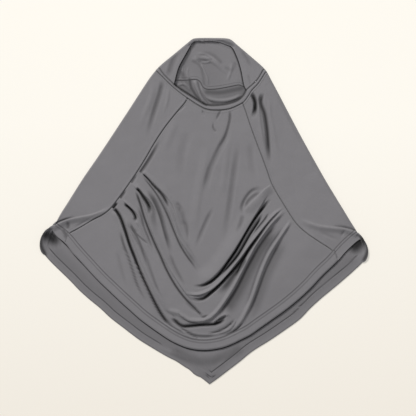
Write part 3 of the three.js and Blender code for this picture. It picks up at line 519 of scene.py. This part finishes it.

# Painted shade on the lower layer, as line, dark and width: along its neck seam, under the edges that lie
# over it, in its hollows and along its hem. Below 0 it is a painted highlight, a pale line.
innerShade = [
    (neckBack, 0.62, 0.0032),
    (faceEdge[:236], 0.98, 0.0046),
    (faceEdge[452:], 0.95, 0.0064),
    (faceEdge[240:450], 0.12, 0.0060),
    (openBand[:150], 1.0, 0.0090),
    (openBand[140:], 0.85, 0.0080),
    (openBand[140:], 0.45, 0.0150),
    (drawn([(194.4, 41.6), (193.6, 45), (190.4, 49)]), 0.55, 0.0090),
    (drawn([(188, 50), (186, 54)]), 0.5, 0.0080),
    (drawn([(184, 88), (198, 94), (214, 97), (240, 93)]), 0.24, 0.0460),
    (drawn([(198, 57), (206, 53.4), (214, 56), (220, 62)]), 0.26, 0.0120),
    (drawn([(199, 61.6), (205, 60), (211, 59.6)]), 0.34, 0.0070),
    (drawn([(226, 68), (232, 70), (235, 64)]), 0.20, 0.0100),
    (drawn([(207, 92), (220, 92.6), (232, 90.4), (241, 88.4)]), 0.54, 0.0160),
    (drawn([(212, 104), (222, 104), (233, 100.6), (241, 96.6)]), 0.55, 0.0070),
    (drawn([(197.6, 82), (199.6, 89), (203, 97), (208, 103)]), 0.44, 0.0055),
    (drawn([(189.6, 80), (191, 87), (195, 94), (200.4, 100.4)]), 0.66, 0.0090),
    (drawn([(181, 80), (184, 86), (190, 91)]), 0.34, 0.0070),
    (drawn([(206, 66), (210, 76), (212, 86)]), 0.12, 0.0800),
    (drawn([(187, 60), (183, 72), (186, 84)]), 0.12, 0.0300),
    (drawn([(182, 73), (184.6, 79), (188, 85)]), 0.36, 0.0130),
    (drawn([(193, 61), (200, 66), (203, 76), (204, 84)]), 0.30, 0.0090),
    (offsetLine(backHem, 0.0300)[20:-20], 0.22, 0.0420),
    (drawn([(176, 352), (190, 359), (206, 362), (222, 358), (238, 350)]), 0.42, 0.0300),
    (offsetLine(backHem, 0.0225)[:350], 0.78, 0.0032),
    (offsetLine(backHem, 0.0252)[490:], 0.84, 0.0032),
    (offsetLine(backHem, 0.0216)[490:], -0.30, 0.0030),
    (offsetLine(backHem, 0.0014), 0.42, 0.0032),
    (offsetLine(backHem, 0.0190)[:350], -0.30, 0.0030),
]

# The grooves along the seams, each with painted shade in it as strong as dark. side says where the turned
# cloth lies: 1 to the left of the line, -1 to the right.
seamCuts = [
    dict(line=leftSeam[:-44], side=-1, depth=0.0024, width=0.0026, dark=0.66),
    dict(line=rightSeam[:-44], side=1, depth=0.0020, width=0.0026, dark=0.45),
    dict(line=neckFront, side=-1, depth=0.0018, width=0.0028, dark=0.46),
    dict(line=bibNeck, side=-1, depth=0.0005, width=0.0030, dark=0.84),
    dict(line=hoodFront, side=1, depth=0.0018, width=0.0040, dark=0.40),
    dict(line=openBand, side=1, depth=0.0003, width=0.0060, dark=0.66),
    dict(line=openBand[30:142], side=1, depth=0, width=0.0066, dark=0.96),
]

chinLevel = photo["originY"] * photo["pixel"] - 0.107 * 2.85   # the height of photo row 107 in the frame
halfWidth = 0.47
hemReach = 0.11                                  # the front hem is felt no farther than this
brow = dict(width=0.010, drop=0.0062)            # the cloth sinks towards the edge over the brow
swellSpan = dict(comes=(-0.17, 0.1), goes=(0.48, 0.69), sides=(0.17, 0.83))
waves = [(0.0009, 0.075, 3.0), (0.00045, 0.03, 7.0)]    # height, size and seed of the cloth's unevenness
needle = dict(depth=0.0008, width=0.0013)
# Painted highlights, pale bands, run along the front hem, at distances from its edge.
hemHighlights = dict(light=0.42, width=0.0017, at=(0.0020, 0.0160, 0.0250, 0.0330))
# Beside a seam lie the ridge of the turned cloth, the mark of its cut edge and, on the seam's other side,
# a painted highlight, a pale band. at is the distance from the seam.
ridge = dict(height=0.0007, width=0.0035, at=0.0042)
cutEdge = dict(depth=0.0006, width=0.0012, at=0.0062)
seamHighlight = dict(light=0.5, width=0.0034, at=0.0040)
# painted shade along the whole outline
rimShade = dict(dark=0.17, width=0.0105)         # along the whole outline


def creaseShade(dark, light):
    # one number for the material: above 0 painted crease shade, below 0 painted highlight, and no highlight
    # where the shade is
    return dark - light * 0.45 * np.clip(1 - 1.7 * dark, 0, 1)


def upperSurface(points):
    # the outer face of the upper layer: a plane place of the pattern to x, y, z and painted shade and
    # highlight
    down = chinLevel - points[:, 1]
    across = np.abs(points[:, 0]) / halfWidth
    swell = cloth["swell"] * ramp(*swellSpan["comes"], down) * (1 - ramp(*swellSpan["goes"], down))
    swell *= 1 - ramp(*swellSpan["sides"], across)
    hemIds, hemDistance, _, _ = nearestOn(points, frontHem[::6], hemReach)
    fromHem = np.full(len(points), hemReach)
    fromHem[hemIds] = np.minimum(hemDistance, hemReach)
    drop = cloth["hemDrop"] * (1 - ramp(0.0, 0.10, fromHem))
    height, lean, dark, light = foldField(points, upperFolds)
    z = cloth["layer"] + swell - drop + height
    z += sum(rise * wobble(points, size, seed) for rise, size, seed in waves)
    browIds, browDistance, _, _ = nearestOn(points, faceEdge[225:465:6], brow["width"])
    z[browIds] -= brow["drop"] * (1 - ramp(0, brow["width"], browDistance))
    z = softFloor(z, cloth["lowest"])
    turned = cloth["hemWall"] - cloth["wall"]
    z += turned * (1 - ramp(cloth["hemWidth"] - 0.001, cloth["hemWidth"] + 0.0008, fromHem))
    for row in cloth["stitchRows"]:
        z -= needle["depth"] * bell(fromHem - row, needle["width"])
    for row in hemHighlights["at"]:
        light = np.maximum(light, hemHighlights["light"] * bell(fromHem - row, hemHighlights["width"]))
    for cut in seamCuts:
        line, side = cut["line"], cut["side"]
        middle = groove(points, line, cut["width"])
        z -= cut["depth"] * middle
        z += ridge["height"] * groove(points, line, ridge["width"], at=side * ridge["at"])
        z -= cutEdge["depth"] * groove(points, line, cutEdge["width"], at=side * cutEdge["at"])
        dark = np.maximum(dark, cut["dark"] * middle)
        pale = groove(points, line, seamHighlight["width"], at=-side * seamHighlight["at"])
        light = np.maximum(light, seamHighlight["light"] * pale)
    dark = np.maximum(dark, rimShade["dark"] * groove(points, outline, rimShade["width"]))
    return np.column_stack([points + lean, z, creaseShade(dark, light)])


def lowerSurface(points):
    # the outer face of the lower layer, which lies on the floor and is lifted by its few folds, with its
    # painted shade and highlight
    height, _, dark, light = foldField(points, lowerFolds)
    for line, depth, width in innerShade:
        if depth > 0:
            dark = np.maximum(dark, depth * groove(points, line, width))
        else:
            light = np.maximum(light, -depth * groove(points, line, width))
    return np.column_stack([points, np.maximum(height, 0), creaseShade(dark, light)])


# The side folds: a half circle from the upper layer round to the lower one, which opens out where the
# fold ends in the hem's corner.
corners = dict(
    left=dict(lower=[(50.8, 238), (47.8, 247.4), (44.6, 254.8)], bulge=0.0225, opens=0.915, lift=0.0035),
    right=dict(lower=[(362.4, 245), (363.4, 254), (362.4, 262.6)], bulge=0.0190, opens=0.915, lift=0.0035),
)
arcSteps = 14
arcTurn = np.linspace(math.pi / 2, -math.pi / 2, arcSteps + 1)[1:-1]


def lowerSide(side, share, end):
    # the line on the floor where the lower layer turns up into the side fold
    shares = np.linspace(share, end, 60)[:-3]
    return smoothLine(np.concatenate([readLine(outlineInset, shares), px(corners[side]["lower"])]), 800)


lowerLeft = lowerSide("left", neckShare["left"], 0)
lowerRight = lowerSide("right", neckShare["right"], 1)


def turnUnder(upper, lower, outward, bulge):
    # rows of points from the upper layer round the fold to the lower one, without the two end columns
    s = np.sin(arcTurn)[None, :, None]
    c = np.cos(arcTurn)[None, :, None]
    mid = (upper + lower)[:, None] / 2
    half = (upper - lower)[:, None] / 2
    out = np.concatenate([outward, np.zeros((len(outward), 2))], axis=1)[:, None]
    return mid + half * s + out * c * np.asarray(bulge, float).reshape(-1, 1, 1)


def spaced(steps, knots, shares):
    # one share for each step and the start, with the given ones at the knots and even steps between
    return np.interp(np.arange(steps + 1), knots, shares)


def blendPatch(top, bottom, left, right, across, down):
    # a plane patch between four rows of points, with top and bottom running across
    u = across[None, :, None]
    v = down[:, None, None]
    corner = (1 - u) * ((1 - v) * top[0] + v * bottom[0]) + u * ((1 - v) * top[-1] + v * bottom[-1])
    return (1 - v) * top[None] + v * bottom[None] + (1 - u) * left[:, None] + u * right[:, None] - corner


def raised(plan, surface):
    # a grid of plane places lifted onto a surface
    return surface(plan.reshape(-1, 2)).reshape(plan.shape[0], plan.shape[1], 4)


def newPiece(name, bm):
    mesh = bpy.data.meshes.new(name)
    bm.to_mesh(mesh)
    bm.free()
    piece = bpy.data.objects.new(name, mesh)
    bpy.context.collection.objects.link(piece)
    return piece


def runAlong(grid, axis):
    # the length of cloth from the first row or column to each point, along that axis of the grid
    steps = np.linalg.norm(np.diff(grid, axis=axis), axis=2)
    return np.concatenate([np.zeros_like(steps.take([0], axis=axis)), np.cumsum(steps, axis=axis)], axis=axis)


def clothPiece(name, grid, hemWeight, closed=False):
    # a sheet of cloth from a grid of points on its outer face, rows down and columns across
    rows, columns = grid.shape[:2]
    shades = grid[..., 3].ravel()
    grid = grid[..., :3]
    bm = bmesh.new()
    bmesh.ops.create_grid(bm, x_segments=columns - 1, y_segments=rows - 1, size=0.5)
    bm.verts.ensure_lookup_table()
    flat = grid.reshape(-1, 3)
    for vert, place in zip(bm.verts, flat):
        vert.co = place
    along = runAlong(grid, 1)
    along -= along[:, columns // 2][:, None]
    uvs = np.stack([along, -runAlong(grid, 0)], axis=-1).reshape(-1, 2)
    layer = bm.loops.layers.uv.new("cloth")
    hem = bm.verts.layers.deform.new()
    weights = hemWeight(flat)
    shade = bm.verts.layers.float.new("shade")
    for vert in bm.verts:
        vert[hem][0] = float(weights[vert.index])
        vert[shade] = float(shades[vert.index])
    for face in bm.faces:
        face.smooth = True
        for loop in face.loops:
            loop[layer].uv = uvs[loop.vert.index]
    if closed:
        bmesh.ops.remove_doubles(bm, verts=bm.verts, dist=0.00002)
    area = sum(face.calc_area() for face in bm.faces)
    piece = newPiece(name, bm)
    piece.vertex_groups.new(name="hem")
    wall = piece.modifiers.new("wall", "SOLIDIFY")
    wall.thickness = cloth["hemWall"]
    wall.offset = -1
    wall.use_even_offset = False
    wall.vertex_group = "hem"
    wall.thickness_vertex_group = cloth["wall"] / cloth["hemWall"]
    print("  ", name, grid.shape[:2], "area", round(area, 4), "top", round(float(flat[:, 2].max()), 4))
    return piece


def nearLines(points, lines, width, ease=0.0012):
    # 1 within width of any of the lines, 0 away from them
    near = np.zeros(len(points))
    for line in lines:
        ids, distance, _, _ = nearestOn(points[:, :2], line[::5], width + ease)
        near[ids] = np.maximum(near[ids], 1 - ramp(width - ease, width + ease, distance))
    return near


print("front panel")
panelRows = 262
panelColumns = 182
rowKnots = [0, 90, 238, panelRows]
panelDown = spaced(panelRows, rowKnots, [0, 0.66, 0.94, 1])
panelSeam = spaced(panelRows, rowKnots, [0, 0.4375, 0.75, 1])
across = spaced(panelColumns, [0, 6, panelColumns - 6, panelColumns], [0, 0.016, 0.984, 1])
panelPlan = blendPatch(
    readLine(neckFront, seamAtNeck["right"] + (seamAtNeck["left"] - seamAtNeck["right"]) * across),
    readLine(frontHem, seamAtHem["right"] + (seamAtHem["left"] - seamAtHem["right"]) * across),
    readLine(rightSeam, panelSeam),
    readLine(leftSeam, panelSeam),
    across,
    panelDown,
)
panel = clothPiece(
    "frontCloth", raised(panelPlan, upperSurface), lambda p: nearLines(p, [frontHem], cloth["hemWidth"])
)

print("cape")
capeRows = 205
capeDown = spaced(capeRows, [0, 5, 28, 178, capeRows], [0, 0.008, 0.08, 0.95, 1])
shoulderColumns = 44
backColumns = 110
shoulderAcross = spaced(shoulderColumns, [0, 7, shoulderColumns], [0, 0.045, 1])
leftPlan = blendPatch(
    readLine(neckFront, seamAtNeck["left"] * (1 - shoulderAcross)),
    readLine(frontHem, seamAtHem["left"] * (1 - shoulderAcross)),
    readLine(leftSeam, capeDown),
    readLine(outlineInset, neckShare["left"] * (1 - capeDown)),
    shoulderAcross,
    capeDown,
)
toSeam = 1 - shoulderAcross[::-1]
rightPlan = blendPatch(
    readLine(neckFront, 1 + (seamAtNeck["right"] - 1) * toSeam),
    readLine(frontHem, 1 + (seamAtHem["right"] - 1) * toSeam),
    readLine(outlineInset, neckShare["right"] + (1 - neckShare["right"]) * capeDown),
    readLine(rightSeam, capeDown),
    toSeam,
    capeDown,
)
backAcross = np.linspace(0, 1, backColumns + 1)
backPlan = blendPatch(
    readLine(neckBack, backAcross),
    readLine(backHem, backAcross),
    readLine(lowerLeft, capeDown),
    readLine(lowerRight, capeDown),
    backAcross,
    capeDown,
)
leftUpper = raised(leftPlan, upperSurface)
rightUpper = raised(rightPlan, upperSurface)
backLower = raised(backPlan, lowerSurface)


def sideFold(side, upper, lower, outlineShares):
    corner = corners[side]
    outward = readLine(leftOf(outline), outlineShares)
    chord = (upper - lower)[:, :2]
    across = np.stack([-chord[:, 1], chord[:, 0]], axis=-1)
    across /= np.maximum(np.linalg.norm(across, axis=1), 1e-9)[:, None]
    across *= np.sign(np.sum(across * outward, axis=1))[:, None]
    opening = ramp(corner["opens"], 1, capeDown)
    outward = outward * (1 - opening)[:, None] + across * opening[:, None]
    outward /= np.linalg.norm(outward, axis=1)[:, None]
    fold = turnUnder(upper, lower, outward, foldRadius + (corner["bulge"] - foldRadius) * opening**1.5)
    rim = ramp(0.925, 1, capeDown)[:, None] * np.cos(arcTurn)[None]
    hemRise = 0.0007 * ramp(0.88, 0.94, capeDown)[:, None]
    fold[..., 2] += corner["lift"] * rim * (1 - 0.35 * np.sin(arcTurn)[None]) + hemRise
    return fold


leftFold = sideFold("left", leftUpper[:, -1], backLower[:, 0], neckShare["left"] * (1 - capeDown))
rightFold = sideFold(
    "right", rightUpper[:, 0], backLower[:, -1], neckShare["right"] + (1 - neckShare["right"]) * capeDown
)
capeGrid = np.concatenate([leftUpper, leftFold, backLower, rightFold[:, ::-1], rightUpper], axis=1)

# Painted shade darkens the open corners inside: black under the front hem's corner, and along the rim.
hollows = [
    (drawn([(45, 234.6), (49, 236), (54, 239.6)]), 0.95, 0.0290),
    (drawn([(46.6, 233), (51.4, 233.4), (56, 237.4)]), 1.0, 0.0090),
    (drawn([(41.8, 238.6), (41.2, 244.6), (43, 250), (45.4, 254.4)]), 0.78, 0.0095),
    (drawn([(363, 239.6), (360, 242.4), (355, 247)]), 0.95, 0.0310),
    (drawn([(364.6, 239.6), (361.4, 240.4), (357, 243.4)]), 1.0, 0.0090),
    (drawn([(366.2, 243), (367.6, 248.4), (366.8, 254), (364, 259.8)]), 0.78, 0.0095),
]
inside = capeGrid[140:, shoulderColumns + 1:-shoulderColumns - 1]
hollowShade = inside[..., 3].ravel()
for line, depth, width in hollows:
    hollowShade = np.maximum(hollowShade, depth * groove(inside[..., :2].reshape(-1, 2), line, width))
inside[..., 3] = hollowShade.reshape(inside.shape[:2])
hemLoops = [frontHem, backHem, leftFold[-1, :, :2], rightFold[-1, :, :2]]
hemLoops = [line if len(line) > 50 else smoothLine(line, 50) for line in hemLoops]
isBack = np.zeros(capeGrid.shape[:2], bool)
isBack[:, shoulderColumns + 1:-shoulderColumns - 1] = True
isBack = isBack.ravel()


def capeHem(points):
    front = nearLines(points, hemLoops[:1], cloth["hemWidth"]) * ~isBack
    back = nearLines(points, hemLoops[1:], cloth["backHemWidth"]) * isBack
    return np.maximum(front, back)


cape = clothPiece("capeCloth", capeGrid, capeHem)

print("hood")
hoodColumns = 180
cheekRows = 30
hoodBackRows = 60
hoodAcross = np.linspace(0, 1, hoodColumns + 1)
crownShares = hoodShare["left"] + (hoodShare["right"] - hoodShare["left"]) * hoodAcross
crownInset = readLine(outlineInset, crownShares)
cheekDown = np.linspace(0, 1, cheekRows + 1)
cheekPlan = blendPatch(
    readLine(faceEdge, hoodAcross),
    crownInset,
    readLine(hoodFront, faceAtBand["left"] * (1 - cheekDown)),
    readLine(hoodFront, faceAtBand["right"] + (1 - faceAtBand["right"]) * cheekDown),
    hoodAcross,
    cheekDown,
)
cheeks = raised(cheekPlan, upperSurface)
hoodDown = np.linspace(0, 1, hoodBackRows + 1)[:, None, None]
hoodBackPlan = crownInset[None] * (1 - hoodDown) + readLine(hoodBack, hoodAcross)[None] * hoodDown
hoodBackGrid = raised(hoodBackPlan, lowerSurface)
crown = turnUnder(cheeks[-1], hoodBackGrid[0], readLine(leftOf(outline), crownShares), foldRadius)
hoodGrid = np.concatenate([cheeks, crown.transpose(1, 0, 2), hoodBackGrid])
hood = clothPiece("hoodCloth", hoodGrid, lambda p: nearLines(p, [faceEdge], 0.0065))

print("neckband")
bandColumns = 130
bandRows = 10
bandAcross = np.linspace(0, 1, bandColumns + 1)
bandDown = np.linspace(0, 1, bandRows + 1)
bandShape = bandDown[:, None, None]


def bandLayer(seam, edge, surface, proud):
    plan = readLine(seam, bandAcross)[None] * (1 - bandShape) + readLine(edge, bandAcross)[None] * bandShape
    grid = raised(plan, surface)
    grid[..., 2] += proud * (1 - (2 * bandDown[:, None] - 1) ** 4)
    return grid


bandFront = bandLayer(neckFront, hoodFront, upperSurface, 0.0008)
bandBack = bandLayer(neckBack, hoodBack, lowerSurface, 0)
bandEnds = []
for side, column in (("right", -1), ("left", 0)):
    shares = neckShare[side] + (hoodShare[side] - neckShare[side]) * bandDown
    outward = readLine(leftOf(outline), shares)
    bandEnds.append(turnUnder(bandFront[:, column], bandBack[:, column], outward, foldRadius + 0.0003))
bandGrid = np.concatenate(
    [bandFront, bandEnds[0], bandBack[:, ::-1], bandEnds[1][:, ::-1], bandFront[:, :1]], axis=1
)
neckband = clothPiece("bandCloth", bandGrid, lambda p: np.ones(len(p)), closed=True)

print("stitches")
# Half length and half thickness of a stitch, the way from one to the next, half length of a stitch of the
# tacks and how far it stands above the cloth, and the needle line of the back hem, from its edge.
stitch = dict(long=0.0013, thick=0.00042, gap=0.0033, tackLong=0.0024, tackAbove=0.0003, backRow=0.0215)


def stitchesAlong(line, surface, above=0.0):
    # places, headings and lengths of the stitches of one row
    count = int(lineLength(line) / stitch["gap"])
    plan = readLine(line, np.linspace(0, 1, count))
    heading = np.gradient(plan, axis=0)
    places = surface(plan)[:, :3]
    places[:, 2] += above
    return [(place, math.atan2(way[1], way[0]), stitch["long"]) for place, way in zip(places, heading)]


def bartack(start, end, turn):
    # thirteen close stitches that tack down the end of a raglan seam
    plan = readLine(px([start, end]), np.linspace(0, 1, 13))
    way = plan[-1] - plan[0]
    places = upperSurface(plan)[:, :3]
    places[:, 2] += stitch["tackAbove"]
    heading = math.atan2(way[1], way[0])
    turns = [turn * (1 if k % 2 else 1.5) for k in range(len(places))]
    return [(place, heading + more, stitch["tackLong"]) for place, more in zip(places, turns)]


def stitchPiece(name, rows):
    bm = bmesh.new()
    for place, heading, long in rows:
        shape = Matrix.Diagonal((long, stitch["thick"] * 1.2, stitch["thick"], 1))
        spot = Matrix.Translation(Vector(place)) @ Matrix.Rotation(heading, 4, "Z") @ shape
        bmesh.ops.create_icosphere(bm, subdivisions=1, radius=1, matrix=spot)
    for face in bm.faces:
        face.smooth = True
    print("  ", name, len(rows), "stitches")
    return newPiece(name, bm)


rowLines = [offsetLine(frontHem, row) for row in cloth["stitchRows"]]
onPanel = [int(hemSteps * seamAtHem[side]) for side in ("left", "right")]
panelRowsOfStitches = []
capeRowsOfStitches = []
for line in rowLines:
    panelRowsOfStitches += stitchesAlong(line[onPanel[0] + 8:onPanel[1] - 8], upperSurface)
    capeRowsOfStitches += stitchesAlong(line[14:onPanel[0] - 6], upperSurface)
    capeRowsOfStitches += stitchesAlong(line[onPanel[1] + 6:-14], upperSurface)
panelStitches = stitchPiece("hemStitches", panelRowsOfStitches)
backRow = offsetLine(backHem, stitch["backRow"])
for part in (backRow[14:452], backRow[490:-14]):
    capeRowsOfStitches += stitchesAlong(part, lowerSurface, cloth["hemWall"])
capeRowsOfStitches += bartack((67.6, 231.6), (65.4, 241.6), 1.2) + bartack((334, 249.4), (336.8, 257.4), 1.2)
capeStitches = stitchPiece("capeStitches", capeRowsOfStitches)

print("material")


class Value:
    # an output of a node, so that shader maths reads as arithmetic
    def __init__(self, finish, socket):
        self.finish, self.socket = finish, socket

    def maths(self, operation, other=0.0):
        return self.finish.add("ShaderNodeMath", dict(operation=operation), {0: self, 1: other})

    def __add__(self, other):
        return self.maths("ADD", other)

    def __sub__(self, other):
        return self.maths("SUBTRACT", other)

    def __mul__(self, other):
        return self.maths("MULTIPLY", other)

    def __truediv__(self, other):
        return self.maths("DIVIDE", other)

    def __abs__(self):
        return self.maths("ABSOLUTE")


class Finish:
    # a material and the one way nodes are added to it
    def __init__(self, name):
        self.material = bpy.data.materials.new(name)
        self.material.use_nodes = True
        self.tree = self.material.node_tree
        self.tree.nodes.clear()

    def drawCurve(self, mapping, places):
        # a float curve through the given places
        line = mapping.curves[0]
        line.points[0].location, line.points[1].location = places[0], places[-1]
        for place in places[1:-1]:
            line.points.new(*place)
        mapping.update()

    def add(self, kind, settings, sockets, output=0):
        node = self.tree.nodes.new(kind)
        for key, value in settings.items():
            if key == "mapping":
                self.drawCurve(node.mapping, value)
            else:
                setattr(node, key, value)
        for key, value in sockets.items():
            if isinstance(value, Value):
                self.tree.links.new(value.socket, node.inputs[key])
            else:
                node.inputs[key].default_value = value
        return Value(self, node.outputs[output]) if len(node.outputs) else node

    def split(self, vector, outputs=(0, 1, 2)):
        # the x, y and z of a vector, or those that outputs names
        return [self.add("ShaderNodeSeparateXYZ", {}, {0: vector}, output=k) for k in outputs]

    def ranged(self, value, start, stop, first, last, **settings):
        # first where the value is at start, last where it is at stop, and between them in between
        return self.add("ShaderNodeMapRange", settings, {0: value, 1: start, 2: stop, 3: first, 4: last})

    def mix(self, share, first, second):
        # from the first colour to the second
        settings = dict(data_type="RGBA", clamp_factor=True)
        return self.add("ShaderNodeMix", settings, {0: share, 6: first, 7: second}, output=2)


jersey = dict(
    colour=(0.2168, 0.2110, 0.2225, 1),     # grey with a trace of violet
    shade=(0.192, 0.1868, 0.197, 1),        # the same where the knit is a little denser
    wale=0.00085,                           # the width of one column of loops, metres
    course=0.00065,                         # and the height of one loop
    relief=0.00022,
    roughness=0.93,
    sheen=0.20,
    # painted shade in the creases and painted highlight on the crests: how much of each goes into the colour,
    # and the colour of each
    creaseShadeStrength=0.985,
    creaseShadeColour=(0.004, 0.0038, 0.004, 1),
    crestHighlightStrength=0.42,
    crestHighlightColour=(0.55, 0.545, 0.56, 1),
    noises=[(26.0, 3.0, 0.55), (900.0, 2.0, 0.6), (210.0, 2.0, 0.6)],   # scale, detail, roughness
)
# The lines of painted shade that the material draws along the front hem, near to far from each: a black
# painted shadow on the lower layer just below the hem, and a faint painted shade on the upper layer along
# either row of needle marks. low and high are the heights between which the line goes over from one layer's
# share to the other's.
hemShadow = dict(near=0.0016, far=0.0052, low=0.0022, high=0.0034, below=1.0, above=0.0)
needleShade = dict(near=0.0006, far=0.0036, low=0.0040, high=0.0050, below=0.0, above=1.0)


def jerseyFinish(name, colour, shade, lines=()):
    # lines are the curves of painted shade along the hem, each with its strength and its kind
    f = Finish(name)
    uv = f.add("ShaderNodeUVMap", dict(uv_map="cloth"), {})
    parts = f.split(uv, (0, 1))
    wide = parts[0] / jersey["wale"]
    tall = parts[1] / jersey["course"]
    slant = wide.maths("PINGPONG", 0.5)
    rib = (slant * (2 * math.pi)).maths("SINE")
    loop = ((tall + slant * 1.4) * (2 * math.pi)).maths("SINE")
    knit = rib * 0.6 + loop * 0.35
    place = f.add("ShaderNodeTexCoord", {}, {}, output=3)
    cloudy, fuzz, slub = [
        f.add("ShaderNodeTexNoise", {}, dict(Vector=place, Scale=scale, Detail=detail, Roughness=rough))
        for scale, detail, rough in jersey["noises"]
    ]
    dense = cloudy * 0.55 + fuzz * 0.25 + slub * 0.35 - 0.08 - knit * 0.06
    tint = f.mix(dense, colour, shade)
    facing = f.add("ShaderNodeTexCoord", {}, {}, output=1)
    looksUp = f.ranged(f.split(facing, (2,))[0], -0.02, 0.22, 0.0, 1.0)
    # the painted crease shade and crest highlight that the pieces carry, only on faces that look up
    crease = f.add("ShaderNodeAttribute", dict(attribute_name="shade"), {}, output=2) * looksUp
    for places, strength, kind in lines:
        x, y, z = f.split(place)
        curve = f.add("ShaderNodeFloatCurve", dict(mapping=places), {1: (x + 0.5)})
        away = abs(y - (curve - 0.5))
        line = f.ranged(away, kind["near"], kind["far"], strength, 0.0, interpolation_type="SMOOTHSTEP")
        layer = f.ranged(z, kind["low"], kind["high"], kind["below"], kind["above"])
        crease = crease.maths("MAXIMUM", line * layer * looksUp)
    # painted shade darkens the colour and painted highlight lightens it
    deep = f.mix(crease.maths("MAXIMUM") * jersey["creaseShadeStrength"], tint, jersey["creaseShadeColour"])
    lit = f.mix((crease * -1.0).maths("MAXIMUM") * jersey["crestHighlightStrength"], deep, jersey["crestHighlightColour"])
    relief = dict(Strength=0.6, Distance=jersey["relief"], Height=knit + fuzz * 1.3 + slub * 0.8)
    surface = {
        "Base Color": lit,
        "Roughness": dense * 0.05 + (jersey["roughness"] - 0.03),
        "Normal": f.add("ShaderNodeBump", {}, relief),
        "Sheen Weight": jersey["sheen"],
        "Sheen Roughness": 0.5,
        "Specular IOR Level": 0.25,
    }
    f.add("ShaderNodeOutputMaterial", {}, {0: f.add("ShaderNodeBsdfPrincipled", {}, surface)})
    return f.material


def placesAcross(line, count=40):
    # a line's height over its breadth, shifted into the unit square of a float curve
    across = line[np.argsort(line[:, 0])]
    return [(x + 0.5, float(np.interp(x, across[:, 0], across[:, 1])) + 0.5)
            for x in np.linspace(across[0, 0] + 0.001, across[-1, 0] - 0.001, count)]


needleShadeRows = [
    (placesAcross(offsetLine(frontHem, row)[12:-12]), strength, needleShade)
    for row, strength in zip(cloth["stitchRows"], (0.30, 0.52))
]
hemShadowLines = [(placesAcross(frontHem), 0.93, hemShadow)] + needleShadeRows
jerseyMaterial = jerseyFinish("jersey", jersey["colour"], jersey["shade"], needleShadeRows)
capeMaterial = jerseyFinish("jerseyHemShadow", jersey["colour"], jersey["shade"], hemShadowLines)
threadMaterial = jerseyFinish("thread", (0.165, 0.16, 0.17, 1), (0.14, 0.136, 0.145, 1))

# piece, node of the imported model, flat size and area in metres
sheets = [
    (panel, "front_panel", (0.84, 0.72), 0.37),
    (cape, "cape", (1.46, 0.82), 0.66),
    (hood, "hood", (0.39, 0.25), 0.046),
    (neckband, "neckband", (0.66, 0.0128), None),
]
for piece, node in ((panelStitches, "front_panel"), (capeStitches, "cape")):
    piece.data.materials.append(threadMaterial)
    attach(piece, "root")
    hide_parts(node)
for piece, node, _, _ in sheets:
    piece.data.materials.append(capeMaterial if piece is cape else jerseyMaterial)
    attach(piece, "root")
    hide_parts(node)

print("floor, light and camera")
floorLevel = -0.0004
bm = bmesh.new()
bmesh.ops.create_grid(bm, x_segments=2, y_segments=2, size=4)
for vert in bm.verts:
    vert.co.z = floorLevel
floor = newPiece("floor", bm)
paper = Finish("paper")
paperPlace = paper.add("ShaderNodeTexCoord", {}, {}, output=3)
paperTone = paper.add("ShaderNodeTexNoise", {}, dict(Vector=paperPlace, Scale=1.2, Detail=1.0))
# The paper is painted darker towards the bottom of the frame, a painted fall-off of the light from above.
paperNorth = paper.split(paperPlace, (1,))[0]
paperLightFalloff = paper.ranged(paperNorth, -0.60, 0.25, 1.0, 0.0)
paperMottle = paper.mix(paperTone, (0.62, 0.60, 0.55, 1), (0.60, 0.575, 0.525, 1))
# It also glows a little, painted light that lifts the shadows on it.
paperSurface = {
    "Base Color": paper.mix(paperLightFalloff, paperMottle, (0.54, 0.51, 0.462, 1)),
    "Roughness": 0.9,
    "Specular IOR Level": 0.1,
    "Emission Color": paper.mix(paperLightFalloff, (1.0, 0.975, 0.91, 1), (0.955, 0.912, 0.824, 1)),
    "Emission Strength": 0.37,
}
paper.add("ShaderNodeOutputMaterial", {}, {0: paper.add("ShaderNodeBsdfPrincipled", {}, paperSurface)})
floor.data.materials.append(paper.material)


def aimedLamp(name, kind, place, **settings):
    # a lamp that points at the frame's origin
    data = bpy.data.lights.new(name, kind)
    for key, value in settings.items():
        setattr(data, key, value)
    lamp = bpy.data.objects.new(name, data)
    lamp.location = place
    lamp.rotation_euler = (-Vector(place)).to_track_quat("-Z", "Y").to_euler()
    bpy.context.collection.objects.link(lamp)


aimedLamp("daylight", "SUN", (-1.5, 2.6, 2.45), angle=math.radians(14), energy=2.40, color=(1.0, 0.985, 0.96))
aimedLamp("window", "AREA", (-0.2, 2.0, 3.0), shape="SQUARE", size=1.8, energy=26, color=(1.0, 0.99, 0.975))

world = bpy.data.worlds.new("room")
world.use_nodes = True
sky = world.node_tree.nodes["Background"]
sky.inputs["Color"].default_value = (0.98, 0.985, 1.0, 1)
sky.inputs["Strength"].default_value = 0.37
bpy.context.scene.world = world
bpy.context.scene.view_settings.view_transform = "Standard"

photoSide = 416      # pixels
cameraHeight = 4.0
cameraData = bpy.data.cameras.new("above")
cameraData.angle = 2 * math.atan(photoSide * photo["pixel"] / 2 / cameraHeight)
camera = bpy.data.objects.new("above", cameraData)
middle = px([(photoSide / 2, photoSide / 2)])[0]
camera.location = (middle[0], middle[1], cameraHeight)
bpy.context.collection.objects.link(camera)
bpy.context.scene.camera = camera
